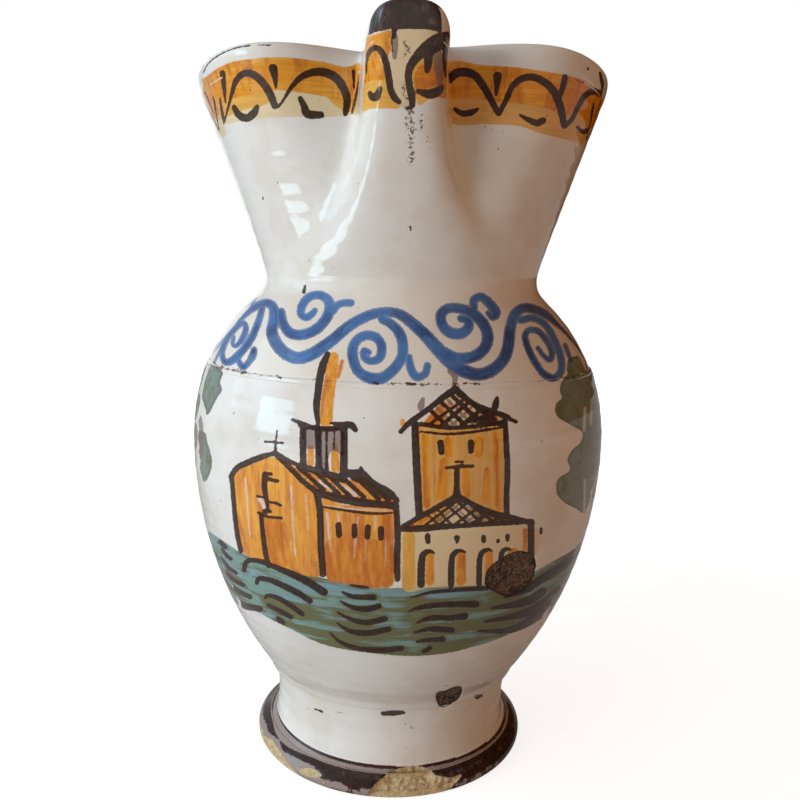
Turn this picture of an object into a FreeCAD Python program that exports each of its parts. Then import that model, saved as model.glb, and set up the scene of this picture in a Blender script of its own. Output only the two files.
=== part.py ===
import FreeCAD, Part
import math
import os
import Sketcher

# A tin-glazed pouring jug on a spread foot, with a rim pinched into a narrow beak.
# Millimetres, +Z up, origin on the ground under the jug's axis, the beak towards -Y, the handle towards +Y.

doc = FreeCAD.newDocument("pitcher")

# Driving dimensions
SIZES = {
    "wall": 5.5,
    "lap_height": 2.5,
    "flange_radius": 59.3,
    "flange_sole_radius": 57.8,
    "flange_edge_low": 1.2,
    "flange_edge_high": 4.2,
    "stem_foot_radius": 50.6,
    "stem_foot_height": 9.5,
    "stem_bend": 55.0,
    "bore_radius": 46.0,
    "spigot_radius": 42.0,
    "spigot_depth": 3.0,
    "waist_radius": 53.0,
    "waist_step": 1.0,
    "foot_height": 35.0,
    "floor_radius": 48.5,
    "floor_thickness": 7.0,
    "belly_radius": 85.3,
    "belly_lower_height": 98.0,
    "belly_upper_height": 30.5,
    "ridge_tuck": 5.5,
    "ridge_step": 0.8,
    "shoulder_height": 28.0,
    "shoulder_bend": 74.0,
    "throat_radius": 56.0,
    "neck_seat_spread": 2.5,
    "throat_height": 6.5,
    "mouth_tuck": 3.8,
    "neck_height": 76.2,
    "beak_lift": 3.2,
    "side_lift": 1.2,
    "lip_height": 8.0,
    "lip_crest_width": 1.6,
    "spout_overhang": 12.5,
    "spout_width": 29.5,
    "left_pinch": 33.0,
    "right_pinch": 26.0,
    "handle_width": 26.0,
    "handle_thickness": 11.0,
    "handle_room": 42.5,
    "handle_drop": 19.2,
    "handle_seat_drop": 15.5,
    "handle_upper_bend": 38.0,
    "handle_lower_bend": 54.0,
    "handle_seat_depth": 9.0,
}

# Levels above the ground, each stacked on the one below
BELLY_LEVEL = "foot_height + belly_lower_height"
RIDGE_LEVEL = BELLY_LEVEL + " + belly_upper_height"
SEAT_LEVEL = RIDGE_LEVEL + " + shoulder_height"
THROAT_LEVEL = SEAT_LEVEL + " + throat_height"
RIM_LEVEL = THROAT_LEVEL + " + neck_height"
HANDLE_LEVEL = RIM_LEVEL + " - handle_drop"

# Radii and reaches that follow another
RIDGE_RADIUS = "belly_radius - ridge_tuck"
MOUTH_RADIUS = "belly_radius - mouth_tuck"
SPOUT_REACH = MOUTH_RADIUS + " + spout_overhang"
HANDLE_REACH = MOUTH_RADIUS + " + handle_room"
SEAT_RADIUS = "throat_radius + neck_seat_spread"

# How the pinch and the beak grow from the throat to the rim
PINCH_ANGLE = 31.0
PINCH_POWER = 3.4
PINCH_GROWTH_POWER = 1.8
DENT_WIDENING_SHARE = 0.6
BEAK_EDGE_POWER = 4.4
BEAK_SPREAD_SHARE = 1.7
BEAK_SPREAD_POWER = 3
FLARE_ROUND_SHARE = 0.06
NECK_LEVEL_SHARES = (0.0, 0.06, 0.14, 0.24, 0.35, 0.47, 0.6, 0.74, 0.88)
PLAN_STATIONS = 96
FRONT_CROWDING_SHARE = 0.7
LIP_LEVEL_SHARES = (0.0, 0.3, 0.55, 0.75, 0.9, 1.0)


def make_sheet():
    """Put every driving dimension in a named cell."""
    sheet = doc.addObject("Spreadsheet::Sheet", "Sizes")
    for row, (name, value) in enumerate(SIZES.items(), start=1):
        sheet.set(f"A{row}", name)
        sheet.set(f"B{row}", str(value))
        sheet.setAlias(f"B{row}", name)
    doc.recompute()
    return sheet


sheet = make_sheet()


def size(name):
    """The value of a cell."""
    return float(getattr(sheet, name))


def value_of(expression):
    """The number that a sum of cell names stands for."""
    total = 0.0
    sign = 1
    for word in expression.split():
        if word in "+-":
            sign = 1 if word == "+" else -1
        else:
            total += sign * size(word)
    return total


def cell_sum(expression):
    """The same sum, written for a constraint of a sketch."""
    return " ".join(word if word in "+-" else f"Sizes.{word}" for word in expression.split())


# Sketched outlines
AXIS = ""


def bend_centre(start, end, radius, bulge):
    """Centre of the arc from start to end; bulge 1 puts it on the left of the way there."""
    chord = end - start
    middle = (start + end) / 2
    reach = math.sqrt(max(radius ** 2 - (chord.Length / 2) ** 2, 0))
    side = FreeCAD.Vector(-chord.y, chord.x, 0).normalize()
    return middle + side * reach * bulge


def level_centre(start, end, height):
    """Centre, at a given height, of the arc through two points."""
    reach = (end - start).dot(end + start) / 2 - (end.y - start.y) * height
    return FreeCAD.Vector(reach / (end.x - start.x), height, 0)


def add_arc(sketch, start, end, centre):
    """The shorter arc from start to end, and which of its ends is at start."""
    first = math.atan2(start.y - centre.y, start.x - centre.x)
    last = math.atan2(end.y - centre.y, end.x - centre.x)
    turn = (last - first + math.pi) % (2 * math.pi) - math.pi
    circle = Part.Circle(centre, FreeCAD.Vector(0, 0, 1), (start - centre).Length)
    if turn > 0:
        return sketch.addGeometry(Part.ArcOfCircle(circle, first, first + turn)), 1, 2
    return sketch.addGeometry(Part.ArcOfCircle(circle, last, last - turn)), 2, 1


def new_sketch(body, name, role):
    """An empty sketch on one of the body's own planes."""
    sketch = body.newObject("Sketcher::SketchObject", name)
    plane = [feature for feature in body.Origin.OriginFeatures if feature.Role == role][0]
    sketch.AttachmentSupport = [(plane, "")]
    sketch.MapMode = "FlatFace"
    return sketch


def bind(sketch, kind, places, expression):
    """A constraint whose value follows a sum of cells."""
    made = sketch.addConstraint(Sketcher.Constraint(kind, *places, value_of(expression)))
    sketch.setExpression(f"Constraints[{made}]", cell_sum(expression))


def closed_outline(body, name, corners, arcs):
    """A closed sketch on the XZ plane. Corners are (radius, height) sums of cells, and arcs maps the
    number of the corner that an arc starts from to ("level", cell) or ("bend", cell, side)."""
    sketch = new_sketch(body, name, "XZ_Plane")
    places = [FreeCAD.Vector(value_of(x) if x else 0, value_of(z) if z else 0, 0) for x, z in corners]
    edges = []
    for number, start in enumerate(places):
        end = places[(number + 1) % len(places)]
        rule = arcs.get(number)
        if rule is None:
            edge = sketch.addGeometry(Part.LineSegment(start, end))
            edges.append((edge, 1, 2))
        elif rule[0] == "level":
            edges.append(add_arc(sketch, start, end, level_centre(start, end, value_of(rule[1]))))
        else:
            centre = bend_centre(start, end, value_of(rule[1]), rule[2])
            edges.append(add_arc(sketch, start, end, centre))
    for number, (edge, head, tail) in enumerate(edges):
        follower, follower_head, follower_tail = edges[(number + 1) % len(edges)]
        sketch.addConstraint(Sketcher.Constraint("Coincident", edge, tail, follower, follower_head))
    for (x, z), (edge, head, tail) in zip(corners, edges):
        for kind, expression, line in (("DistanceX", x, -2), ("DistanceY", z, -1)):
            if expression:
                bind(sketch, kind, (-1, 1, edge, head), expression)
            else:
                sketch.addConstraint(Sketcher.Constraint("PointOnObject", edge, head, line))
    for number, rule in arcs.items():
        edge = edges[number][0]
        if rule[0] == "level":
            bind(sketch, "DistanceY", (-1, 1, edge, 3), rule[1])
        else:
            bind(sketch, "Radius", (edge,), rule[1])
    return sketch


def turned_body(label, corners, arcs):
    """A body of revolution about the jug's axis."""
    body = doc.addObject("PartDesign::Body", label)
    body.Label = label
    sketch = closed_outline(body, f"{label}_outline", corners, arcs)
    turning = body.newObject("PartDesign::Revolution", f"{label}_turning")
    turning.Profile = sketch
    turning.ReferenceAxis = (sketch, ["V_Axis"])
    turning.Angle = 360
    body.Tip = turning
    doc.recompute()
    return body


# Turned pieces
def make_foot():
    """The spread foot: an open ring with a waisted stem, luted under the belly's floor."""
    corners = [
        ("bore_radius", AXIS),
        ("flange_sole_radius", AXIS),
        ("flange_radius", "flange_edge_low"),
        ("flange_radius", "flange_edge_high"),
        ("stem_foot_radius", "stem_foot_height"),
        ("waist_radius - waist_step", "foot_height"),
        ("spigot_radius", "foot_height"),
        ("spigot_radius", "foot_height - spigot_depth"),
    ]
    return turned_body("foot_ring", corners, {4: ("bend", "stem_bend", -1)})


def make_belly():
    """The belly: a closed floor with a spigot in the foot's bore, and a tongue at the ridge."""
    tongue = RIDGE_RADIUS + " - wall + lap_height"
    corners = [
        (AXIS, "foot_height - spigot_depth"),
        ("spigot_radius", "foot_height - spigot_depth"),
        ("spigot_radius", "foot_height"),
        ("waist_radius", "foot_height"),
        ("belly_radius", BELLY_LEVEL),
        (RIDGE_RADIUS, RIDGE_LEVEL),
        (tongue, RIDGE_LEVEL),
        (tongue, RIDGE_LEVEL + " + lap_height"),
        (RIDGE_RADIUS + " - wall", RIDGE_LEVEL + " + lap_height"),
        (RIDGE_RADIUS + " - wall", RIDGE_LEVEL),
        ("belly_radius - wall", BELLY_LEVEL),
        ("floor_radius", "foot_height + floor_thickness"),
        (AXIS, "foot_height + floor_thickness"),
    ]
    level = ("level", BELLY_LEVEL)
    return turned_body("belly", corners, {3: level, 4: level, 9: level, 10: level})


def make_shoulder():
    """The shoulder: rebated over the belly's tongue, and flat on top where the neck is luted."""
    groove = RIDGE_RADIUS + " - wall + lap_height"
    corners = [
        (groove, RIDGE_LEVEL),
        (RIDGE_RADIUS + " - ridge_step", RIDGE_LEVEL),
        (SEAT_RADIUS, SEAT_LEVEL),
        (SEAT_RADIUS + " - wall", SEAT_LEVEL),
        (RIDGE_RADIUS + " - wall", RIDGE_LEVEL + " + lap_height"),
        (groove, RIDGE_LEVEL + " + lap_height"),
    ]
    arcs = {1: ("bend", "shoulder_bend", 1), 3: ("bend", "shoulder_bend", -1)}
    return turned_body("shoulder", corners, arcs)


# The neck, the beak and the lip
def stations():
    """Angles round the jug, 0 at the beak and crowded there."""
    found = []
    for number in range(PLAN_STATIONS):
        turn = 2 * math.pi * number / PLAN_STATIONS - math.pi
        found.append(turn - FRONT_CROWDING_SHARE * math.sin(turn))
    return found


def round_radius(height):
    """Radius of the neck away from the beak."""
    throat = size("throat_radius")
    flare = value_of(MOUTH_RADIUS) - throat
    rise = rise_share(height)
    drop = (value_of(THROAT_LEVEL) - height) / size("throat_height")
    if drop > 0:
        return throat + size("neck_seat_spread") * drop ** 2
    soft = FLARE_ROUND_SHARE
    return throat + flare * (math.hypot(rise, soft) - soft) / (math.hypot(1, soft) - soft)


def rise_share(height):
    """0 at the throat and below it, 1 at the rim."""
    return max((height - value_of(THROAT_LEVEL)) / size("neck_height"), 0)


def plan_radius(angle, height, inset):
    """Radius of the neck's face at an angle from the beak, inset from its outer face."""
    radius = round_radius(height) - inset
    rise = rise_share(height)
    if not rise:
        return radius
    pinch = size("right_pinch") if angle > 0 else size("left_pinch")
    dent = pinch * rise ** PINCH_GROWTH_POWER
    dent_angle = PINCH_ANGLE + math.degrees(inset * DENT_WIDENING_SHARE / radius)
    dented = radius - dent * math.exp(-(abs(math.degrees(angle)) / dent_angle) ** PINCH_POWER)
    throat = size("throat_radius")
    front = throat + (value_of(SPOUT_REACH) - throat) * rise - inset
    middle = (front + radius - dent) / 2
    half_angle = math.asin((size("spout_width") / 2 - inset) / middle)
    half_angle *= 1 + BEAK_SPREAD_SHARE * (1 - rise) ** BEAK_SPREAD_POWER
    beak = math.exp(-(abs(angle) / half_angle) ** BEAK_EDGE_POWER)
    return dented + (front - radius + dent) * beak


def lifted(x, y, height):
    """A point of the plan, with the rim's plane a little higher at the beak and on the +X side."""
    lift = size("beak_lift") * -y / value_of(SPOUT_REACH) + size("side_lift") * x / value_of(MOUTH_RADIUS)
    return FreeCAD.Vector(x, y, height + lift * rise_share(height))


def plan_wire(height, inset):
    """A closed smooth wire of the plan at a height, inset from the outer face."""
    points = []
    for angle in stations():
        radius = plan_radius(angle, height, inset)
        points.append(lifted(radius * math.sin(angle), -radius * math.cos(angle), height))
    curve = Part.BSplineCurve()
    parameters = [float(number) for number in range(len(points) + 1)]
    curve.interpolate(Points=points, PeriodicFlag=True, Parameters=parameters)
    return Part.Wire([curve.toShape()])


def solid_through(wires):
    """A smooth closed solid through wires."""
    return Part.makeLoft(wires, True, False)


def make_neck():
    """The neck with its beak, open at both ends."""
    wall = size("wall")
    low = value_of(SEAT_LEVEL)
    throat = value_of(THROAT_LEVEL)
    top = value_of(RIM_LEVEL) - size("lip_height")
    levels = [low, (low + throat) / 2]
    levels += [throat + (top - throat) * share / NECK_LEVEL_SHARES[-1] for share in NECK_LEVEL_SHARES]
    outer = solid_through([plan_wire(level, 0) for level in levels])
    inner = solid_through([plan_wire(level, wall) for level in levels])
    neck = doc.addObject("Part::Feature", "neck_spout")
    neck.Label = "neck_spout"
    neck.Shape = outer.cut(inner)
    return neck


def make_lip():
    """The rolled lip that runs round the rim and over the beak's tip."""
    wall = size("wall")
    height = size("lip_height")
    base = value_of(RIM_LEVEL) - height
    rounding = (wall - size("lip_crest_width")) / 2
    outer_wires = []
    inner_wires = []
    for share in LIP_LEVEL_SHARES:
        level = base + height * share
        inset = rounding * (1 - math.sqrt(max(1 - share ** 4, 0)))
        outer_wires.append(plan_wire(level, inset))
        inner_wires.append(plan_wire(level, wall - inset))
    lip = doc.addObject("Part::Feature", "rim_lip")
    lip.Label = "rim_lip"
    lip.Shape = solid_through(outer_wires).cut(solid_through(inner_wires))
    return lip


# The handle
def handle_path(body):
    """The handle's middle line: level out of the neck, over, down, and round into the belly."""
    top = value_of(HANDLE_LEVEL)
    upper = size("handle_upper_bend")
    lower = size("handle_lower_bend")
    reach = value_of(HANDLE_REACH)
    inner_end = size("belly_radius") - size("handle_seat_depth")
    swing = math.acos((inner_end - reach + lower) / lower)
    low_centre = value_of(RIDGE_LEVEL + " - handle_seat_drop") + lower * math.sin(swing)
    up = FreeCAD.Vector(0, 0, 1)
    upper_circle = Part.Circle(FreeCAD.Vector(reach - upper, top - upper, 0), up, upper)
    lower_circle = Part.Circle(FreeCAD.Vector(reach - lower, low_centre, 0), up, lower)

    path = new_sketch(body, "handle_path", "YZ_Plane")
    start = FreeCAD.Vector(size("throat_radius"), top, 0)
    out = path.addGeometry(Part.LineSegment(start, FreeCAD.Vector(reach - upper, top, 0)))
    over = path.addGeometry(Part.ArcOfCircle(upper_circle, 0, math.pi / 2))
    drop_start = FreeCAD.Vector(reach, top - upper, 0)
    down = path.addGeometry(Part.LineSegment(drop_start, FreeCAD.Vector(reach, low_centre, 0)))
    back = path.addGeometry(Part.ArcOfCircle(lower_circle, -swing, 0))
    path.addConstraint(Sketcher.Constraint("Tangent", out, 2, over, 2))
    path.addConstraint(Sketcher.Constraint("Tangent", over, 1, down, 1))
    path.addConstraint(Sketcher.Constraint("Tangent", down, 2, back, 2))
    path.addConstraint(Sketcher.Constraint("Horizontal", out))
    path.addConstraint(Sketcher.Constraint("Vertical", down))
    bind(path, "DistanceX", (-1, 1, out, 1), "throat_radius")
    bind(path, "DistanceY", (-1, 1, out, 1), HANDLE_LEVEL)
    bind(path, "Radius", (over,), "handle_upper_bend")
    bind(path, "DistanceX", (-1, 1, down, 1), HANDLE_REACH)
    bind(path, "Radius", (back,), "handle_lower_bend")
    bind(path, "DistanceX", (-1, 1, back, 1), "belly_radius - handle_seat_depth")
    bind(path, "DistanceY", (-1, 1, back, 1), RIDGE_LEVEL + " - handle_seat_drop")
    return path


def handle_section(body):
    """The strap's section, flat with round edges."""
    section = new_sketch(body, "handle_section", "XZ_Plane")
    section.AttachmentOffset = FreeCAD.Placement(
        FreeCAD.Vector(0, value_of(HANDLE_LEVEL), -size("throat_radius")), FreeCAD.Rotation()
    )
    section.setExpression(".AttachmentOffset.Base.y", cell_sum(HANDLE_LEVEL))
    section.setExpression(".AttachmentOffset.Base.z", "-Sizes.throat_radius")
    round_off = size("handle_thickness") / 2
    side = size("handle_width") / 2 - round_off
    up = FreeCAD.Vector(0, 0, 1)
    ends = []
    for x, first in ((side, -math.pi / 2), (-side, math.pi / 2)):
        circle = Part.Circle(FreeCAD.Vector(x, 0, 0), up, round_off)
        ends.append(section.addGeometry(Part.ArcOfCircle(circle, first, first + math.pi)))
    for arc, other, z in ((ends[0], ends[1], round_off), (ends[1], ends[0], -round_off)):
        x = side if z > 0 else -side
        face = section.addGeometry(
            Part.LineSegment(FreeCAD.Vector(x, z, 0), FreeCAD.Vector(-x, z, 0))
        )
        section.addConstraint(Sketcher.Constraint("Tangent", arc, 2, face, 1))
        section.addConstraint(Sketcher.Constraint("Tangent", face, 2, other, 1))
    section.addConstraint(Sketcher.Constraint("Equal", *ends))
    section.addConstraint(Sketcher.Constraint("PointOnObject", ends[0], 3, -1))
    section.addConstraint(Sketcher.Constraint("Symmetric", ends[0], 3, ends[1], 3, -1, 1))
    bind(section, "Diameter", (ends[0],), "handle_thickness")
    bind(section, "DistanceX", (ends[1], 3, ends[0], 3), "handle_width - handle_thickness")
    return section


def make_handle(vessel_pieces):
    """A strap handle behind, from the neck to the belly, trimmed to the wall that it is luted on."""
    body = doc.addObject("PartDesign::Body", "handle_strap")
    path = handle_path(body)
    section = handle_section(body)
    doc.recompute()
    pipe = body.newObject("PartDesign::AdditivePipe", "handle_pipe")
    pipe.Profile = section
    pipe.Spine = (path, [f"Edge{number + 1}" for number in range(len(path.Geometry))])
    body.Tip = pipe
    doc.recompute()
    vessel = doc.addObject("Part::MultiFuse", "vessel_wall")
    vessel.Shapes = vessel_pieces
    trimmed = doc.addObject("Part::Cut", "handle_trimmed")
    trimmed.Base = body
    trimmed.Tool = vessel
    doc.recompute()
    handle = doc.addObject("Part::Feature", "strap_handle")
    handle.Label = "strap_handle"
    handle.Shape = max(trimmed.Shape.Solids, key=lambda solid: solid.Volume)
    return handle


def check(pieces):
    """Stop before anything is written if a piece failed."""
    for thing in doc.Objects:
        if "Invalid" in thing.State or "Error" in thing.State:
            raise RuntimeError(f"{thing.Label} failed: {thing.State}")
    for piece in pieces:
        if piece.Shape.isNull() or not piece.Shape.isValid():
            raise RuntimeError(f"{piece.Label} has no valid shape")
        solids = len(piece.Shape.Solids)
        print(piece.Label, "solids", solids, "volume", round(piece.Shape.Volume))
        if solids != 1:
            raise RuntimeError(f"{piece.Label} is {solids} solids")


def main():
    foot = make_foot()
    belly = make_belly()
    shoulder = make_shoulder()
    neck = make_neck()
    lip = make_lip()
    handle = make_handle([belly, shoulder, neck])
    pieces = [foot, belly, shoulder, neck, lip, handle]
    doc.recompute()
    check(pieces)
    os.makedirs("parts", exist_ok=True)
    for piece in pieces:
        piece.Shape.exportStep(f"parts/{piece.Label}.step")


main()
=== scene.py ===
import math

import bmesh
import bpy
import numpy as np
from bpy.props import FloatProperty, FloatVectorProperty, IntProperty, PointerProperty
from mathutils import Matrix, Vector, noise


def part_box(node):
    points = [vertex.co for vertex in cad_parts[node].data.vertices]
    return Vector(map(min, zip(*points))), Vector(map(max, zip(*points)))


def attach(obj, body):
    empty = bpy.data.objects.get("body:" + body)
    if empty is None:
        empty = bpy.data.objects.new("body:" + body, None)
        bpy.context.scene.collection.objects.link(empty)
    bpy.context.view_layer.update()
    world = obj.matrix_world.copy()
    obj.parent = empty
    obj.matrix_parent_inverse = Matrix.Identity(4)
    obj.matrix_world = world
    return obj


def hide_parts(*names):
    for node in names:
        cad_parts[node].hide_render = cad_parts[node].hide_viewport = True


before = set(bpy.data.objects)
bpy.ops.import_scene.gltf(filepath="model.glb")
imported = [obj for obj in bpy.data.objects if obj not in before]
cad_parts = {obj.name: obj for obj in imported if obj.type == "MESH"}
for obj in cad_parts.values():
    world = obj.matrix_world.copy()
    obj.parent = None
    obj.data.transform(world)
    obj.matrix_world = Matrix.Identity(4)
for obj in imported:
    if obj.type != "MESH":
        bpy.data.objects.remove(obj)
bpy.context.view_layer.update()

bl_info = {
    "name": "Painted pouring jug",
    "version": (1, 0, 0),
    "blender": (4, 5, 0),
    "location": "View3D > Sidebar > Jug",
    "description": "A tin-glazed jug with a pinched beak, a painted landscape and a strap handle",
    "category": "Object",
}

MM = 0.001

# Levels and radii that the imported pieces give
FOOT_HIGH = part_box("foot_ring")[1]
BELLY_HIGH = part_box("belly")[1]
SHOULDER_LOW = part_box("shoulder")[0]
NECK_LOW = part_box("neck_spout")[0]
HANDLE_LOW, HANDLE_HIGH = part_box("strap_handle")


def tone(red, green, blue):
    """A colour given as a painter's swatch, 0 to 255, in the linear values that a shader takes."""
    shares = [value / 255 for value in (red, green, blue)]
    return tuple(((share + 0.055) / 1.055) ** 2.4 if share > 0.04 else share / 12.92 for share in shares)


def length(name, description, default):
    """A length that a user can change."""
    return FloatProperty(name=name, description=description, default=default, min=0, unit="LENGTH")


def paint_colour(name, description, default):
    """A colour that a user can change."""
    return FloatVectorProperty(name=name, description=description, default=default, size=3, min=0, max=1,
                               subtype="COLOR")


class JugForm(bpy.types.PropertyGroup):
    """Sizes of the thrown sections."""

    wall: length("Wall", "Thickness of the thrown wall", 5.5 * MM)
    flange_radius: length("Flange radius", "Outer radius of the spread foot", FOOT_HIGH.x)
    flange_edge: length("Flange edge", "Height of the flange's outer edge", 4.2 * MM)
    stem_foot_radius: length("Stem foot", "Radius where the stem stands on the flange", 50.6 * MM)
    stem_foot_height: length("Stem foot height", "Height where the stem starts", 9.5 * MM)
    stem_bend: length("Stem bend", "Radius of the stem's hollow curve", 55 * MM)
    bore_radius: length("Bore", "Radius of the hollow under the foot", 46 * MM)
    waist_radius: length("Waist", "Radius of the belly where it stands on the foot", 53 * MM)
    waist_height: length("Waist height", "Height where the belly stands on the foot", FOOT_HIGH.z)
    belly_radius: length("Belly", "Largest radius of the belly", BELLY_HIGH.x)
    belly_height: length("Belly height", "Height of the belly's largest radius", 133 * MM)
    ridge_radius: length("Ridge", "Radius of the turned ridge over the belly", 79.8 * MM)
    ridge_height: length("Ridge height", "Height of the turned ridge", SHOULDER_LOW.z)
    floor_radius: length("Floor", "Radius of the belly's floor inside", 48.5 * MM)
    floor_thickness: length("Floor thickness", "Thickness of the belly's floor", 7 * MM)
    shoulder_bend: length("Shoulder bend", "Radius of the shoulder's round", 74 * MM)
    seat_radius: length("Neck seat", "Radius where the neck stands on the shoulder", 58.5 * MM)
    seat_height: length("Neck seat height", "Height where the neck stands", NECK_LOW.z)
    throat_radius: length("Throat", "Smallest radius of the neck", 56 * MM)
    throat_height: length("Throat height", "Height of the neck's smallest radius", 198 * MM)
    mouth_radius: length("Mouth", "Radius of the mouth away from the beak", 81.5 * MM)
    rim_height: length("Rim height", "Height of the rim before it is tilted", 274.2 * MM)
    lip_height: length("Lip height", "Height of the rolled lip", 8 * MM)
    lip_crest: length("Lip crest", "Width of the lip's crest", 1.6 * MM)
    spout_reach: length("Beak reach", "How far the beak's tip is from the axis", 94 * MM)
    spout_width: length("Beak width", "Width of the beak", 29.5 * MM)
    left_pinch: length("Left pinch", "Depth of the fold on the beak's left", 33 * MM)
    right_pinch: length("Right pinch", "Depth of the fold on the beak's right", 26 * MM)
    beak_lift: length("Beak lift", "How much higher the rim is at the beak", 3.2 * MM)
    side_lift: length("Side lift", "How much higher the rim is on the right", 1.2 * MM)
    handle_width: length("Handle width", "Width of the strap", HANDLE_HIGH.x - HANDLE_LOW.x)
    handle_thickness: length("Handle thickness", "Thickness of the strap", 11 * MM)
    handle_seat: length("Handle seat", "Height of the strap's lower end", 148 * MM)
    handle_upper_bend: length("Upper bend", "Radius of the strap's upper bend", 38 * MM)
    handle_lower_bend: length("Lower bend", "Radius of the strap's lower bend", 54 * MM)
    body_columns: IntProperty(name="Body columns", description="Columns of faces round the body", default=500)
    neck_columns: IntProperty(name="Neck columns", description="Columns of faces round the neck", default=640)


class JugColours(bpy.types.PropertyGroup):
    """Colours of the glaze, the paints and the clay."""

    glaze: paint_colour("Glaze", "The tin glaze where it is thick", tone(230, 224, 216))
    glaze_thin: paint_colour("Thin glaze", "The tin glaze where the clay warms it", tone(218, 208, 194))
    glaze_cream: paint_colour("Cream glaze", "The creamier glaze of the shoulder", tone(226, 210, 188))
    blue: paint_colour("Blue", "Cobalt where the brush was wet", tone(64, 112, 168))
    blue_deep: paint_colour("Deep blue", "Cobalt where it pooled", tone(28, 60, 112))
    orange: paint_colour("Orange", "The orange wash", tone(224, 142, 16))
    orange_deep: paint_colour("Deep orange", "A second coat of orange", tone(188, 90, 8))
    orange_pale: paint_colour("Pale orange", "Orange where the brush ran dry", tone(234, 168, 54))
    ochre: paint_colour("Ochre", "The thin yellow wash", tone(212, 152, 42))
    cream: paint_colour("Cream", "The thinnest yellow wash", tone(222, 192, 132))
    brown: paint_colour("Brown", "Manganese brown of the drawing", tone(24, 11, 8))
    brown_warm: paint_colour("Warm brown", "Manganese where it is thinner", tone(68, 33, 20))
    mauve: paint_colour("Mauve", "Manganese thinned with water", tone(120, 97, 92))
    sea: paint_colour("Sea", "Blue-green of the water", tone(108, 144, 134))
    sea_olive: paint_colour("Olive", "Olive strokes in the water", tone(88, 90, 34))
    sea_blue: paint_colour("Sea blue", "Blue strokes in the water", tone(116, 150, 164))
    leaf: paint_colour("Leaf", "Grey-green of the trees", tone(108, 122, 106))
    leaf_deep: paint_colour("Deep leaf", "The trees' darker edges", tone(62, 74, 66))
    clay: paint_colour("Clay", "The bare clay of the foot", tone(216, 192, 150))
    clay_dark: paint_colour("Dark clay", "Weathered clay in the old chips", tone(98, 74, 52))


# The picture's camera, which also gives every painted mark its place
PICTURE_SIZE = 800
SENSOR_WIDTH = 36.0
LENS = 36.0
CAMERA_PLACE = Vector((0, -0.3395, 0.1976))
CAMERA_PITCH = math.radians(8.52)
CAMERA_ROLL = math.radians(1.33)
CAMERA_CENTRE_X = 398.6

# How the pinch and the beak grow from the throat to the rim
PINCH_ANGLE = 31.0
PINCH_POWER = 3.4
PINCH_GROWTH_POWER = 1.8
DENT_WIDENING_SHARE = 0.6
BEAK_EDGE_POWER = 4.4
BEAK_SPREAD_SHARE = 1.7
BEAK_SPREAD_POWER = 3
FLARE_ROUND_SHARE = 0.06
BEAK_SPLIT_ANGLE = math.radians(11)

# The thrower's faults. A ring is (depth in mm, waves per mm up, lean, sway, the sway's waves per mm), and a
# swell is (depth in mm, how many go round, twist per mm up, start).
THROWING_RINGS = ((0.045, 1.05, 1, 0.7, 0.13), (0.035, 0.47, -1, 1.3, 0.05))
THROWING_SWELLS = ((0.16, 2, 0.021, 0), (0.1, 3, -0.034, 1))
AXIS_CALM = 20 * MM

# How the jug leans and its rim sags, in millimetres, and the levels or reaches between which each grows
FOOT_LEAN = -1.2
FOOT_LEAN_END = 80
NECK_LEAN = -1.3
NECK_LEAN_LEVELS = (190, 274)
BEAK_LEAN = 1.9
BEAK_LEAN_REACH = (62, 82)
RIM_SAG_LEFT = 0.9
RIM_SAG_RIGHT = 1.7
RIM_SAG_RADIUS = 78 * MM
RIM_SAG_LEVELS = (200, 274)
TIP_RISE = 1.6
TIP_DROOP = 3.4
TIP_HALF_WIDTH = 15 * MM
TIP_LEVELS = (258, 274)
TIP_REACH = (60, 76)

# Spacing of the rows of faces, and how far the columns are crowded towards the front
ROUND_ROW = 0.3 * MM
SHOULDER_ROW = 0.42 * MM
NECK_BAND_ROW = 0.55 * MM
FINE_ROW = 0.62 * MM
THROAT_ROW = 0.7 * MM
MIDDLE_ROW = 1.2 * MM
STRAP_ROW = 1.5 * MM
INNER_ROW = 1.6 * MM
COARSE_ROW = 6 * MM
LIP_ROWS = 22
BODY_CROWDING = 0.5
NECK_CROWDING = 0.62
SPIN_STEPS = 20
WORK_RADIUS = 0.1
TINY = 0.06 * MM

# The belly's spigot in the foot's socket, its tongue at the ridge, and other small forms
SOCKET_RADIUS = 42 * MM
SPIGOT_RADIUS = 41.8 * MM
SPIGOT_DEPTH = 3 * MM
RIDGE_TONGUE = 0.75 * MM
EDGE_ROUND = 0.6 * MM
SEAT_BLEND = 0.31 * MM
SEAT_BLEND_REACH = 1.5 * MM
STRAP_SQUARENESS = 0.62

# Heights where the paint, the glaze and the clay change; where two are given, from none to all
OLD_CLAY_LEVELS = (12 * MM, 30 * MM)
PAINTED_LOW = 62 * MM
SEA_DARKENS = (92 * MM, 70 * MM)
CREAM_STARTS = (162.8 * MM, 166 * MM)
CREAM_ENDS = (199 * MM, 188 * MM)
RIDGE_EDGE = 164.05 * MM
RIDGE_WEAR = (1.2 * MM, 0.1 * MM)
BAND_LOW = 230 * MM
NECK_BAND_LOW = 247 * MM

# From right to left, where the water gets less olive (partly painted shade, darker on the right); how far the
# cap goes in; and bars across the strap
SEA_LIGHTENS = (5 * MM, -55 * MM)
CAP_REACH = 70 * MM
CREST_START_ANGLE = 1.25
BAR_COUNT = 9
BAR_START = 24 * MM
BAR_SPACING = 17 * MM
BAR_REACH = 8.6 * MM

# Shades of the clay that the panel doesn't offer
CLAY_GRAIN = tone(190, 162, 118)
CLAY_DIRT = tone(140, 112, 84)
CLAY_CRACKS = tone(48, 34, 25)
CLAY_VEINS = tone(176, 154, 126)
CLAY_RIM = tone(48, 36, 30)
CLAY_ROUGHNESS = 0.85

# First socket of a mixing node's two values, and its result, for numbers and for colours
MIX_SOCKETS = {"FLOAT": (2, 0), "RGBA": (6, 2)}

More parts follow.
